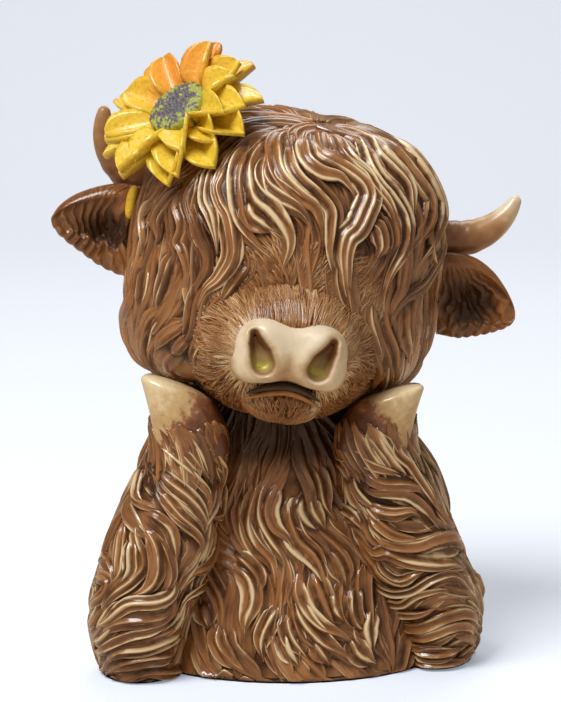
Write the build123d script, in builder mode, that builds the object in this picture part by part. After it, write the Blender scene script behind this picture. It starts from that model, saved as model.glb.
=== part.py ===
"""Cast resin ornament: the bust of a long-haired cow that rests its chin on its two hooves, with a sunflower.

The ornament is a set of castings bonded together on spigots and wire pins, on a felt pad.
Units are millimetres. +Z is up, the cow looks along -Y, and the origin is on the table under the chest.
Right and left are the cow's own, so its right side is at -X.
"""

import os
from math import cos, hypot, pi, radians, sin

from build123d import *

# Joints between castings
GLUE_GAP = 0.2
PIN_GAP = 0.05
PIN_RADIUS = 1.5
PIN_LENGTH = 13.0
DOWEL_RADIUS = 2.0
DOWEL_LENGTH = 14.0
DOWEL_AIM_SET_BACK = 12.0

# Underside
FELT_THICKNESS = 1.2
FELT_INSET = 1.5

# Torso: half sizes of its sections, from the base up to the neck
BASE_HALF_WIDTH = 38.0
BASE_HALF_DEPTH = 31.5
BASE_SET_BACK = 1.0
BELLY_HEIGHT = 20.0
BELLY_HALF_WIDTH = 41.0
BELLY_HALF_DEPTH = 30.0
BELLY_SET_BACK = 5.0
SHOULDER_HEIGHT = 44.0
SHOULDER_HALF_WIDTH = 36.5
SHOULDER_HALF_DEPTH = 24.5
SHOULDER_SET_BACK = 6.0
NECK_ABOVE_WRIST = 12.0
NECK_HALF_WIDTH = 19.0
NECK_HALF_DEPTH = 17.0
NECK_SHIFT = -4.2

# Neck spigot
SPIGOT_RADIUS = 11.0
SPIGOT_LENGTH = 9.0

# Head: half sizes, how square its outline is above and below, and how it leans and turns
HEAD_HALF_WIDTH = 37.5
HEAD_HALF_DEPTH = 36.0
HEAD_HALF_HEIGHT = 33.0
CROWN_SQUARENESS = 2.6
JAW_SQUARENESS = 5.0
HEAD_ROLL = 8.0
HEAD_TURN = 5.0
NECK_SEAT_DROP = 29.0
HEAD_LEVELS = (-0.7, -0.4, 0.0, 0.4, 0.7, 0.9, 0.99)

# Main locks of hair: rounded ridges that sway from side to side on their way down, with shallower furrows
# between them towards their ends
HEAD_LOCK_COUNT = 22
TORSO_LOCK_COUNT = 24
LOCK_DEPTH = 1.8
LOCK_SWAY = 6.0
HEAD_WAVE_LENGTH = 60.0
HEAD_LOCK_FADES = (0.5, 0.9, 1.0, 1.0, 1.0, 0.8, 0.35, 0.1)
NECK_LOCK_FADE = 0.4

# Muzzle, nose and chin, as distances from the middle of the head
MUZZLE_DROP = 18.0
MUZZLE_ROOT_DEPTH = 9.0
MUZZLE_ROOT_HALF_WIDTH = 19.0
MUZZLE_ROOT_HALF_HEIGHT = 18.0
MUZZLE_LENGTH = 9.0
MUZZLE_FRONT_HALF_WIDTH = 14.0
MUZZLE_FRONT_HALF_HEIGHT = 12.0
NOSE_WIDTH = 26.5
NOSE_HEIGHT = 16.0
NOSE_CORNER = 7.0
NOSE_THICKNESS = 5.0
NOSE_EDGE = 2.5
NOSTRIL_SPREAD = 7.6
NOSTRIL_HALF_WIDTH = 2.9
NOSTRIL_HALF_HEIGHT = 4.4
NOSTRIL_LEAN = 24.0
NOSTRIL_DEPTH = 3.5
MOUTH_DROP = 8.6
MOUTH_GAP = 0.6
CHIN_HALF_WIDTH = 10.0
CHIN_HALF_DEPTH = 8.5
CHIN_WAIST_DROP = 4.4
CHIN_HEIGHT = 8.0
CHIN_WAIST_SHRINK = 0.8
CHIN_END_SHRINK = 4.2
CHIN_REACH = 1.5

# Ears: the right one stands higher and the left one droops
RIGHT_EAR_DROP = 1.0
RIGHT_EAR_LENGTH = 16.0
RIGHT_EAR_DROOP = -1.5
LEFT_EAR_DROP = 5.0
LEFT_EAR_LENGTH = 18.5
LEFT_EAR_DROOP = 2.5
EAR_BACK = 2.0
EAR_ROOT_DEPTH = 5.0
EAR_ROOT_HALF_HEIGHT = 7.0
EAR_HALF_HEIGHT = 10.0
EAR_NARROW_HALF_HEIGHT = 8.0
EAR_TIP_HALF_HEIGHT = 3.0
EAR_HALF_THICKNESS = 3.6
EAR_TIP_HALF_THICKNESS = 1.5
EAR_DISH_DEPTH = 2.0
EAR_RIM = 2.4

# Horns: an arc out of the side of the head, which starts at an angle above the head's level
HORN_BACK = 7.0
HORN_ROOT_DEPTH = 5.0
HORN_ROOT_RADIUS = 4.0
HORN_TIP_RADIUS = 1.0
HORN_TAPER = 2.2
RIGHT_HORN_RISE = 10.0
RIGHT_HORN_LENGTH = 24.0
RIGHT_HORN_START = 8.0
RIGHT_HORN_SWEEP = 86.0
LEFT_HORN_RISE = 7.0
LEFT_HORN_LENGTH = 25.0
LEFT_HORN_START = -14.0
LEFT_HORN_SWEEP = 72.0

# Forelegs: the elbows stand on the table and the wrists lean in to carry the chin
FOOT_HALF_WIDTH = 10.5
FOOT_HALF_DEPTH = 13.5
ELBOW_HEIGHT = 11.0
ELBOW_HALF_WIDTH = 12.6
ELBOW_HALF_DEPTH = 16.0
FOREARM_HEIGHT = 29.0
FOREARM_HALF_WIDTH = 13.6
FOREARM_HALF_DEPTH = 14.5
WRIST_HEIGHT = 57.0
WRIST_HALF_WIDTH = 9.2
WRIST_HALF_DEPTH = 10.6
RIGHT_ELBOW = (-34.5, -17.0)
RIGHT_FOREARM = (-30.0, -19.0)
RIGHT_WRIST = (-22.0, -20.5)
LEFT_ELBOW = (34.8, -5.5)
LEFT_FOREARM = (28.0, -13.5)
LEFT_WRIST = (20.0, -18.5)

# Hooves: two claws on each wrist
CLAW_HALF_WIDTH = 8.0
CLAW_HALF_DEPTH = 4.9
CLAW_TIP_HALF_WIDTH = 5.2
CLAW_TIP_HALF_DEPTH = 3.6
RIGHT_CLAW_HEIGHT = 14.0
LEFT_CLAW_HEIGHT = 11.5
CLAW_LEAN = 6.2
CLAW_WAIST_LEAN = 2.2
CLAW_SPIGOT_RADIUS = 2.5
CLAW_SPIGOT_LENGTH = 5.0

# Sunflower: the way to it from the middle of the head, its height over the head and the place that it faces
FLOWER_WAY = (-27.2, -11.0, 27.4)
FLOWER_STAND_OFF = 2.1415
FLOWER_LOOK = (-30.0, -22.032, 20.691)
CALYX_RADIUS = 6.5
CALYX_LENGTH = 9.0
PETAL_THICKNESS = 1.4
PETAL_ROOT_HALF_WIDTH = 1.8
PETAL_ROOT_OVERLAP = 0.4
PETAL_WIDEST = 5.5
HUB_RADIUS = 7.6
HUB_THICKNESS = 1.6
BACK_PETAL_COUNT = 10
BACK_PETAL_REACH = 21.5
BACK_PETAL_HALF_WIDTH = 4.0
BACK_PETAL_LIFT = 7.0
MIDDLE_PETAL_COUNT = 9
MIDDLE_PETAL_REACH = 20.0
MIDDLE_PETAL_HALF_WIDTH = 4.3
MIDDLE_PETAL_LIFT = 17.0
FRONT_PETAL_COUNT = 8
FRONT_PETAL_REACH = 17.5
FRONT_PETAL_HALF_WIDTH = 4.4
FRONT_PETAL_LIFT = 29.0
SEED_INSET = 0.5
SEED_THICKNESS = 3.0
SEED_EDGE = 1.0
FLOWER_PIN_RADIUS = 1.2
FLOWER_PIN_DEPTH = 6.0

# Places worked out from the sizes above
FLOOR = FELT_THICKNESS
TILT = (0, HEAD_ROLL, HEAD_TURN)
NECK = Plane(Location((NECK_SHIFT, 0, WRIST_HEIGHT + NECK_ABOVE_WRIST), TILT))
HEAD = NECK.offset(NECK_SEAT_DROP)


def level(height, centre):
    """A horizontal plane at a height, with its middle at a place on the table."""
    return Plane((centre[0], centre[1], height))


def in_head(x, y, z):
    """A point given by its distances from the middle of the head."""
    return HEAD.from_local_coords((x, y, z))


def facing(forward, drop):
    """A plane across the muzzle that looks out of the face, with its sketch's Y up the face."""
    return Plane(in_head(0, -forward, -drop), x_dir=HEAD.x_dir, z_dir=-HEAD.y_dir)


def ellipse_loft(sections):
    """A smooth solid through ellipses, each given as (plane, half width, half depth)."""
    with BuildPart() as form:
        for plane, half_width, half_depth in sections:
            with BuildSketch(plane):
                Ellipse(half_width, half_depth)
        loft()
    return form.part


def lock_arcs(half_width, half_depth, count, depth, sway):
    """Start, middle and end of each lock's arc round an ellipse turned by a sway in degrees."""
    arcs = []
    for lock in range(count):
        ends = []
        for share, cut in ((0, depth), (0.5, 0), (1, depth)):
            angle = radians(sway) + 2 * pi * (lock + share) / count
            ends.append(((half_width - cut) * cos(angle), (half_depth - cut) * sin(angle)))
        arcs.append(ends)
    return arcs


def rod(start, direction, length, radius):
    """A straight round rod."""
    with BuildPart() as form:
        with BuildSketch(Plane(start, z_dir=direction)):
            Circle(radius)
        extrude(amount=length)
    return form.part


def head_share(height):
    """The head's half width at a height above its middle, as a share of its widest."""
    squareness = CROWN_SQUARENESS if height > 0 else JAW_SQUARENESS
    return (1 - abs(height / HEAD_HALF_HEIGHT) ** squareness) ** (1 / squareness)


def over_head(way, height):
    """A point at a height over the head, in a direction from the middle of the head."""
    squareness = CROWN_SQUARENESS if way[2] > 0 else JAW_SQUARENESS
    across = hypot(way[0] / HEAD_HALF_WIDTH, way[1] / HEAD_HALF_DEPTH)
    inside = (across**squareness + abs(way[2] / HEAD_HALF_HEIGHT) ** squareness) ** (1 / squareness)
    return in_head(*(part * (1 / inside + height / hypot(*way)) for part in way))


def out_of_head(x, y, z):
    """The way straight out of the head at a place given by its distances from the middle of the head."""
    return in_head(x / HEAD_HALF_WIDTH**2, y / HEAD_HALF_DEPTH**2, z / HEAD_HALF_HEIGHT**2) - HEAD.origin


def foreleg_form(elbow, forearm, wrist, grow=0.0):
    """One foreleg from the felt up to its flat wrist, grown all round to make its seat."""
    return ellipse_loft(
        [
            (level(FLOOR - grow, elbow), FOOT_HALF_WIDTH + grow, FOOT_HALF_DEPTH + grow),
            (level(ELBOW_HEIGHT, elbow), ELBOW_HALF_WIDTH + grow, ELBOW_HALF_DEPTH + grow),
            (level(FOREARM_HEIGHT, forearm), FOREARM_HALF_WIDTH + grow, FOREARM_HALF_DEPTH + grow),
            (level(WRIST_HEIGHT + grow, wrist), WRIST_HALF_WIDTH + grow, WRIST_HALF_DEPTH + grow),
        ]
    )


def claw_form(wrist, side, height, row, grow=0.0):
    """One claw of a hoof, which leans out to its tip. Row is -1 for the front claw and 1 for the rear one."""
    x, y = wrist[0], wrist[1] + row * (CLAW_HALF_DEPTH + GLUE_GAP)
    waist = (x + side * CLAW_WAIST_LEAN, y)
    tip = (x + side * CLAW_LEAN, y)
    return ellipse_loft(
        [
            (level(WRIST_HEIGHT - grow, (x, y)), CLAW_HALF_WIDTH + grow, CLAW_HALF_DEPTH + grow),
            (level(WRIST_HEIGHT + height / 2, waist), CLAW_HALF_WIDTH + grow, CLAW_HALF_DEPTH + grow),
            (
                level(WRIST_HEIGHT + height + grow, tip),
                CLAW_TIP_HALF_WIDTH + grow,
                CLAW_TIP_HALF_DEPTH + grow,
            ),
        ]
    )


def claw_spigot(wrist, row, grow=0.0):
    """The round spigot under a claw, which plugs into the wrist."""
    top = (wrist[0], wrist[1] + row * (CLAW_HALF_DEPTH + GLUE_GAP), WRIST_HEIGHT)
    return rod(top, (0, 0, -1), CLAW_SPIGOT_LENGTH + grow, CLAW_SPIGOT_RADIUS + grow)


def muzzle_form(grow=0.0):
    """The snout from its root inside the head to its flat front."""
    root = HEAD_HALF_DEPTH - MUZZLE_ROOT_DEPTH
    front = HEAD_HALF_DEPTH + MUZZLE_LENGTH - NOSE_THICKNESS
    return ellipse_loft(
        [
            (facing(root - grow, MUZZLE_DROP), MUZZLE_ROOT_HALF_WIDTH + grow, MUZZLE_ROOT_HALF_HEIGHT + grow),
            (facing(front, MUZZLE_DROP), MUZZLE_FRONT_HALF_WIDTH + grow, MUZZLE_FRONT_HALF_HEIGHT + grow),
        ]
    )


def chin_form(grow=0.0):
    """The chin under the mouth line, narrowing downwards."""
    forward = HEAD_HALF_DEPTH + MUZZLE_LENGTH - NOSE_THICKNESS - CHIN_HALF_DEPTH - CHIN_REACH
    top = MUZZLE_DROP + MOUTH_DROP + MOUTH_GAP
    steps = ((-grow, 0), (CHIN_WAIST_DROP, CHIN_WAIST_SHRINK), (CHIN_HEIGHT + grow, CHIN_END_SHRINK))
    sections = []
    for drop, shrink in steps:
        plane = Plane(in_head(0, -forward, -top - drop), x_dir=HEAD.x_dir, z_dir=HEAD.z_dir)
        sections.append((plane, CHIN_HALF_WIDTH - shrink + grow, CHIN_HALF_DEPTH - shrink + grow))
    return ellipse_loft(sections)


def ear_plane(ear, reach, forward=0.0):
    """A plane across an ear at a distance from the side of the head, with its sketch's Y up."""
    side, drop, length, droop = ear
    at = in_head(side * (HEAD_HALF_WIDTH + reach), EAR_BACK - forward, -drop - droop * reach / length)
    return Plane(at, x_dir=HEAD.y_dir * side, z_dir=HEAD.x_dir * side)


def ear_form(ear, grow=0.0):
    """An ear as a thick flap, from its root inside the head to its tip."""
    length = ear[2]
    thickness = EAR_HALF_THICKNESS + grow
    return ellipse_loft(
        [
            (ear_plane(ear, -EAR_ROOT_DEPTH - grow), thickness, EAR_ROOT_HALF_HEIGHT + grow),
            (ear_plane(ear, length / 3), thickness, EAR_HALF_HEIGHT + grow),
            (ear_plane(ear, length * 3 / 4), thickness, EAR_NARROW_HALF_HEIGHT + grow),
            (ear_plane(ear, length), EAR_TIP_HALF_THICKNESS + grow, EAR_TIP_HALF_HEIGHT + grow),
        ]
    )


def ear_dish(ear):
    """The hollow in the front of an ear, inside its rim."""
    length = ear[2]
    return ellipse_loft(
        [
            (ear_plane(ear, EAR_RIM, EAR_HALF_THICKNESS), EAR_DISH_DEPTH / 2, EAR_HALF_HEIGHT - 2 * EAR_RIM),
            (ear_plane(ear, length / 2, EAR_HALF_THICKNESS), EAR_DISH_DEPTH, EAR_HALF_HEIGHT - EAR_RIM),
            (
                ear_plane(ear, length - EAR_RIM, EAR_HALF_THICKNESS),
                EAR_DISH_DEPTH / 2,
                EAR_NARROW_HALF_HEIGHT - 2 * EAR_RIM,
            ),
        ]
    )


def horn_root(horn):
    """Where the middle of a horn meets its socket, inside the head."""
    side, rise = horn[:2]
    return in_head(side * (HEAD_HALF_WIDTH - HORN_ROOT_DEPTH), HORN_BACK, rise)


def horn_direction(side, angle):
    """The way that a horn points, at an angle above the head's level."""
    return HEAD.x_dir * (side * cos(radians(angle))) + HEAD.z_dir * sin(radians(angle))


def horn_form(horn, grow=0.0, reach=None):
    """A tapered horn on an arc, whole or up to a distance along it."""
    side, rise, length, start, sweep = horn
    steps = 4
    bend = length / radians(sweep)
    out = horn_direction(side, start)
    up = horn_direction(side, start + 90)
    sections = []
    for step in range(steps + 1):
        share = (reach or length) / length * step / steps
        turn = radians(sweep * share)
        at = horn_root(horn) + out * (bend * sin(turn)) + up * (bend * (1 - cos(turn)))
        radius = HORN_ROOT_RADIUS + (HORN_TIP_RADIUS - HORN_ROOT_RADIUS) * share**HORN_TAPER
        plane = Plane(at, x_dir=HEAD.y_dir, z_dir=horn_direction(side, start + sweep * share))
        sections.append((plane, radius + grow, radius + grow))
    return ellipse_loft(sections)


def petal_ring(stem, count, reach, half_width, lift, turn):
    """A ring of leaf-shaped petals on a hub with the pin's hole, its back on the stem plane."""
    hinge = Location((HUB_RADIUS, 0, PETAL_ROOT_OVERLAP * sin(radians(lift))), (0, -lift, 0))
    petal_planes = [
        Plane(stem.location * Location((0, 0, 0), (0, 0, turn + 360 * n / count)) * hinge)
        for n in range(count)
    ]
    length = reach - HUB_RADIUS
    with BuildPart() as ring:
        with BuildSketch(stem):
            Circle(HUB_RADIUS)
        extrude(amount=HUB_THICKNESS)
        with BuildSketch(*petal_planes):
            with BuildLine():
                root = (-PETAL_ROOT_OVERLAP, PETAL_ROOT_HALF_WIDTH)
                edge = Spline(root, (PETAL_WIDEST, half_width), (length, 0), tangents=[(1, 0.4), (0.7, -1)])
                mirror(edge, about=Plane.XZ)
                Line((root[0], -root[1]), root)
            make_face()
        extrude(amount=PETAL_THICKNESS)
        with BuildSketch(stem):
            Circle(FLOWER_PIN_RADIUS + PIN_GAP)
        extrude(amount=HUB_THICKNESS, mode=Mode.SUBTRACT)
    return ring.part


def calyx_form(grow=0.0):
    """The tapered stem under the flower, whose end sits in a socket in the head."""
    ends = [(flower, HUB_RADIUS - SEED_INSET), (flower.offset(-CALYX_LENGTH - grow), CALYX_RADIUS)]
    return ellipse_loft([(plane, radius + grow, radius + grow) for plane, radius in ends])


def dowel_pair(leg, grow=0.0):
    """The two wire dowels that cross the seat between a foreleg and the torso."""
    sections = (
        (leg[0], ELBOW_HEIGHT, ELBOW_HALF_WIDTH, ELBOW_HALF_DEPTH),
        (leg[1], FOREARM_HEIGHT, FOREARM_HALF_WIDTH, FOREARM_HALF_DEPTH),
    )
    rods = []
    for middle, height, half_width, half_depth in sections:
        inward = (Vector(0, DOWEL_AIM_SET_BACK) - Vector(*middle)).normalized()
        seat = ((inward.X / half_width) ** 2 + (inward.Y / half_depth) ** 2) ** -0.5
        length = DOWEL_LENGTH + 2 * grow
        start = Vector(middle[0], middle[1], height) + inward * (seat - length / 2)
        rods.append(rod(start, inward, length, DOWEL_RADIUS + grow))
    return rods


def horn_pin(horn, grow=0.0):
    """The wire pin between a horn and the head."""
    side, rise, horn_length, start, sweep = horn
    along = horn_direction(side, start)
    length = PIN_LENGTH + 2 * grow
    return rod(horn_root(horn) - along * (length / 2), along, length, PIN_RADIUS + grow)


def ear_pin(ear, grow=0.0):
    """The wire pin between an ear and the head."""
    root = ear_plane(ear, -EAR_ROOT_DEPTH)
    length = PIN_LENGTH + 2 * grow
    return rod(root.origin - root.z_dir * (length / 2), root.z_dir, length, PIN_RADIUS + grow)


def flower_pin_form(grow=0.0):
    """The wire pin that holds the petal rings and the calyx on the head."""
    top = flower.offset(3 * HUB_THICKNESS)
    length = 3 * HUB_THICKNESS + CALYX_LENGTH + FLOWER_PIN_DEPTH + grow
    return rod(top.origin, -top.z_dir, length, FLOWER_PIN_RADIUS + grow)


def finish(part, name):
    """Names a finished piece and writes it out."""
    part.label = name
    export_step(part, f"parts/{name}.step")


# Forms that seat in one another
RIGHT, LEFT = -1, 1
sides = ("right", "left")
legs = ((RIGHT_ELBOW, RIGHT_FOREARM, RIGHT_WRIST), (LEFT_ELBOW, LEFT_FOREARM, LEFT_WRIST))
hooves = ((RIGHT_WRIST, RIGHT, RIGHT_CLAW_HEIGHT), (LEFT_WRIST, LEFT, LEFT_CLAW_HEIGHT))
claw_rows = {"front": -1, "rear": 1}
ears = (
    (RIGHT, RIGHT_EAR_DROP, RIGHT_EAR_LENGTH, RIGHT_EAR_DROOP),
    (LEFT, LEFT_EAR_DROP, LEFT_EAR_LENGTH, LEFT_EAR_DROOP),
)
horns = (
    (RIGHT, RIGHT_HORN_RISE, RIGHT_HORN_LENGTH, RIGHT_HORN_START, RIGHT_HORN_SWEEP),
    (LEFT, LEFT_HORN_RISE, LEFT_HORN_LENGTH, LEFT_HORN_START, LEFT_HORN_SWEEP),
)
flower = Plane(over_head(FLOWER_WAY, FLOWER_STAND_OFF), z_dir=out_of_head(*FLOWER_LOOK))

leg_seats = [foreleg_form(*leg, GLUE_GAP) for leg in legs]
claw_seats = [claw_form(*hoof, row, GLUE_GAP) for hoof in hooves for row in claw_rows.values()]
dowel_holes = [hole for leg in legs for hole in dowel_pair(leg, PIN_GAP)]
ear_seats = [ear_form(ear, GLUE_GAP) for ear in ears]
horn_seats = [horn_form(horn, GLUE_GAP, reach=2 * HORN_ROOT_DEPTH) for horn in horns]
head_pin_holes = [horn_pin(horn, PIN_GAP) for horn in horns] + [ear_pin(ear, PIN_GAP) for ear in ears]
flower_pin_hole = flower_pin_form(PIN_GAP)
spigot_hole = rod(NECK.origin, -NECK.z_dir, SPIGOT_LENGTH + GLUE_GAP, SPIGOT_RADIUS + GLUE_GAP)

os.makedirs("parts", exist_ok=True)

# Torso: a casting with a socket for the neck, saddled at each side for a foreleg
with BuildPart() as torso:
    belly = level(BELLY_HEIGHT, (0, BELLY_SET_BACK))
    shoulder = level(SHOULDER_HEIGHT, (0, SHOULDER_SET_BACK))
    for plane, half_width, half_depth, depth, sway in (
        (level(FLOOR, (0, BASE_SET_BACK)), BASE_HALF_WIDTH, BASE_HALF_DEPTH, 0, 0),
        (belly, BELLY_HALF_WIDTH, BELLY_HALF_DEPTH, LOCK_DEPTH, LOCK_SWAY),
        (shoulder, SHOULDER_HALF_WIDTH, SHOULDER_HALF_DEPTH, LOCK_DEPTH, -LOCK_SWAY),
        (NECK, NECK_HALF_WIDTH, NECK_HALF_DEPTH, LOCK_DEPTH * NECK_LOCK_FADE, 0),
    ):
        with BuildSketch(plane):
            with BuildLine():
                for arc in lock_arcs(half_width, half_depth, TORSO_LOCK_COUNT, depth, sway):
                    ThreePointArc(*arc)
            make_face()
    loft()
    for cut in [spigot_hole, *leg_seats, *claw_seats, *dowel_holes]:
        add(cut, mode=Mode.SUBTRACT)
finish(torso.part, "torso")

# Felt pad under the torso and both elbows
with BuildPart() as felt_pad:
    with BuildSketch():
        with Locations((0, BASE_SET_BACK)):
            Ellipse(BASE_HALF_WIDTH - FELT_INSET, BASE_HALF_DEPTH - FELT_INSET)
        with Locations(RIGHT_ELBOW, LEFT_ELBOW):
            Ellipse(FOOT_HALF_WIDTH - FELT_INSET, FOOT_HALF_DEPTH - FELT_INSET)
    extrude(amount=FELT_THICKNESS)
finish(felt_pad.part, "felt_pad")

# Forelegs, with sockets for the claws and the dowels
for name, leg in zip(sides, legs):
    with BuildPart() as foreleg:
        add(foreleg_form(*leg))
        for row in claw_rows.values():
            add(claw_spigot(leg[2], row, GLUE_GAP), mode=Mode.SUBTRACT)
        for hole in dowel_pair(leg, PIN_GAP):
            add(hole, mode=Mode.SUBTRACT)
    finish(foreleg.part, f"{name}_foreleg")

# Hooves: a front and a rear claw on each wrist
for name, hoof in zip(sides, hooves):
    for place, row in claw_rows.items():
        with BuildPart() as claw:
            add(claw_form(*hoof, row))
            add(claw_spigot(hoof[0], row))
        finish(claw.part, f"{name}_{place}_claw")

# Head: a casting with a spigot below and a socket for each piece on it
with BuildPart() as head:
    heights = (-NECK_SEAT_DROP, *(share * HEAD_HALF_HEIGHT for share in HEAD_LEVELS))
    for height, fade in zip(heights, HEAD_LOCK_FADES):
        half_width, half_depth = HEAD_HALF_WIDTH * head_share(height), HEAD_HALF_DEPTH * head_share(height)
        depth, sway = LOCK_DEPTH * fade, LOCK_SWAY * sin(2 * pi * height / HEAD_WAVE_LENGTH)
        with BuildSketch(HEAD.offset(height)):
            with BuildLine():
                for arc in lock_arcs(half_width, half_depth, HEAD_LOCK_COUNT, depth, sway):
                    ThreePointArc(*arc)
            make_face()
    loft()
    with BuildSketch(NECK):
        Circle(SPIGOT_RADIUS)
    extrude(amount=-SPIGOT_LENGTH)
    cuts = [muzzle_form(GLUE_GAP), chin_form(GLUE_GAP), calyx_form(GLUE_GAP)]
    for cut in [*cuts, flower_pin_hole, *ear_seats, *horn_seats, *head_pin_holes, *claw_seats]:
        add(cut, mode=Mode.SUBTRACT)
finish(head.part, "head")

# Muzzle: flat below at the mouth, and flat in front for the nose
with BuildPart() as muzzle:
    add(muzzle_form())
    split(bisect_by=HEAD.offset(-MUZZLE_DROP - MOUTH_DROP), keep=Keep.TOP)
    for cut in claw_seats:
        add(cut, mode=Mode.SUBTRACT)
finish(muzzle.part, "muzzle")

# Nose: a rounded pad with two leaning nostrils
with BuildPart() as nose_pad:
    nose_plane = facing(HEAD_HALF_DEPTH + MUZZLE_LENGTH - NOSE_THICKNESS, MUZZLE_DROP)
    with BuildSketch(nose_plane):
        RectangleRounded(NOSE_WIDTH, NOSE_HEIGHT, NOSE_CORNER)
    extrude(amount=NOSE_THICKNESS)
    front = nose_pad.faces().sort_by(Axis(nose_plane.origin, nose_plane.z_dir))[-1]
    fillet(front.edges(), NOSE_EDGE)
    for side in (RIGHT, LEFT):
        with BuildSketch(nose_plane.offset(NOSE_THICKNESS)):
            with Locations(Location((side * NOSTRIL_SPREAD, 0), side * NOSTRIL_LEAN)):
                Ellipse(NOSTRIL_HALF_WIDTH, NOSTRIL_HALF_HEIGHT)
        extrude(amount=-NOSTRIL_DEPTH, mode=Mode.SUBTRACT)
finish(nose_pad.part, "nose_pad")

# Chin: hangs under the mouth line
with BuildPart() as chin:
    add(chin_form())
    for cut in claw_seats:
        add(cut, mode=Mode.SUBTRACT)
finish(chin.part, "chin")

# Ears, dished in front
for name, ear in zip(sides, ears):
    with BuildPart() as flap:
        add(ear_form(ear))
        add(ear_dish(ear), mode=Mode.SUBTRACT)
        add(ear_pin(ear, PIN_GAP), mode=Mode.SUBTRACT)
    finish(flap.part, f"{name}_ear")

# Horns
for name, horn in zip(sides, horns):
    with BuildPart() as arc:
        add(horn_form(horn))
        add(horn_pin(horn, PIN_GAP), mode=Mode.SUBTRACT)
    finish(arc.part, f"{name}_horn")

# Sunflower: calyx, three rings of petals and the seed disc
with BuildPart() as flower_calyx:
    add(calyx_form())
    add(flower_pin_hole, mode=Mode.SUBTRACT)
finish(flower_calyx.part, "flower_calyx")

rings = (
    ("back_petals", BACK_PETAL_COUNT, BACK_PETAL_REACH, BACK_PETAL_HALF_WIDTH, BACK_PETAL_LIFT),
    ("middle_petals", MIDDLE_PETAL_COUNT, MIDDLE_PETAL_REACH, MIDDLE_PETAL_HALF_WIDTH, MIDDLE_PETAL_LIFT),
    ("front_petals", FRONT_PETAL_COUNT, FRONT_PETAL_REACH, FRONT_PETAL_HALF_WIDTH, FRONT_PETAL_LIFT),
)
for place, (name, count, reach, half_width, lift) in enumerate(rings):
    stem = flower.offset(place * HUB_THICKNESS)
    with BuildPart() as petals:
        add(petal_ring(stem, count, reach, half_width, lift, turn=place * 180 / count))
    finish(petals.part, name)

with BuildPart() as seed_disc:
    with BuildSketch(flower.offset(len(rings) * HUB_THICKNESS)):
        Circle(HUB_RADIUS - SEED_INSET)
    extrude(amount=SEED_THICKNESS)
    rim = seed_disc.edges().sort_by(Axis(flower.origin, flower.z_dir))[-1]
    fillet(rim, SEED_EDGE)
finish(seed_disc.part, "seed_disc")

# Wire pins and dowels
with BuildPart() as flower_pin:
    add(flower_pin_form())
finish(flower_pin.part, "flower_pin")

with BuildPart() as horn_pins:
    for horn in horns:
        add(horn_pin(horn))
finish(horn_pins.part, "horn_pins")

with BuildPart() as ear_pins:
    for ear in ears:
        add(ear_pin(ear))
finish(ear_pins.part, "ear_pins")

with BuildPart() as foreleg_dowels:
    for leg in legs:
        add(dowel_pair(leg))
finish(foreleg_dowels.part, "foreleg_dowels")
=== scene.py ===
"""Dresses the cast resin cow: carved hair, horns, hooves, nose and sunflower, painted by hand and lacquered.

Shapes are worked out in millimetres in the part's own frame and handed to Blender in metres.
Right and left are the cow's own, so its right side is at -X. It looks along -Y.
"""

import logging
import math
from dataclasses import dataclass, field
from enum import Enum
from functools import reduce

import bpy
import numpy as np
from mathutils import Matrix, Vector
from mathutils.bvhtree import BVHTree
from mathutils.kdtree import KDTree

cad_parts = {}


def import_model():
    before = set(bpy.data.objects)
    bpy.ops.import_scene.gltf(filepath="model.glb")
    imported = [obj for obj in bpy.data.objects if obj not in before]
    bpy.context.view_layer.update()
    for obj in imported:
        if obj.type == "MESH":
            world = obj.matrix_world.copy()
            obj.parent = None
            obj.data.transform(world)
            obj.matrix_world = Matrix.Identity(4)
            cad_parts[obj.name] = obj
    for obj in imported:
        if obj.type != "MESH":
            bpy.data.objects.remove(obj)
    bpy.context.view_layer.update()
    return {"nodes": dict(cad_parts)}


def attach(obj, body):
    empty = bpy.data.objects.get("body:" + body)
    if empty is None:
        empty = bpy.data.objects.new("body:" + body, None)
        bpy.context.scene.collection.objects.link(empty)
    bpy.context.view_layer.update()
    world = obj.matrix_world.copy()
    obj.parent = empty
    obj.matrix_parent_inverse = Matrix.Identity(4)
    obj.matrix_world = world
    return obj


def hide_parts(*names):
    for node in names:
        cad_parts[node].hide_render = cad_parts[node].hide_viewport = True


LOG = logging.getLogger("cow")
MM = 0.001
BODY = "root"
Pixel = tuple[float, float]
Span = tuple[float, float]
Point = tuple[float, float, float]
Stroke = tuple[Pixel, ...]
Faces = list[list[int]]
Colour = tuple[float, float, float, float]
Array = np.ndarray
Material = bpy.types.Material
Socket = bpy.types.NodeSocket
Value = float | Colour | Socket


class Side(Enum):
    """One of the cow's own sides, as the sign of X."""

    RIGHT = -1
    LEFT = 1

    @property
    def word(self) -> str:
        """The side as it stands in a node's name."""
        return self.name.lower()


class Row(Enum):
    """One of the two claws of a hoof, as the sign of Y."""

    FRONT = -1
    REAR = 1

    @property
    def word(self) -> str:
        """The row as it stands in a node's name."""
        return self.name.lower()


class Slot(Enum):
    """The record's material slots that the pieces take."""

    HAIR = "brown_hair"
    HORN = "horn_paint"
    NOSE = "nose_paint"
    PETAL = "petal_paint"
    SEED = "seed_paint"


def smooth(value: Array | float, low: float, high: float) -> Array:
    """A soft step from 0 at low to 1 at high.

    Args:
        value: What is compared with the two ends.
        low: Where the step starts.
        high: Where the step is done.

    Returns:
        The step's height at each value.
    """
    share = np.clip((np.asarray(value, float) - low) / (high - low), 0.0, 1.0)
    return share * share * (3.0 - 2.0 * share)


def unit(vectors: Array) -> Array:
    """Vectors brought to length 1."""
    return vectors / np.maximum(np.linalg.norm(vectors, axis=-1, keepdims=True), 1e-9)


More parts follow.
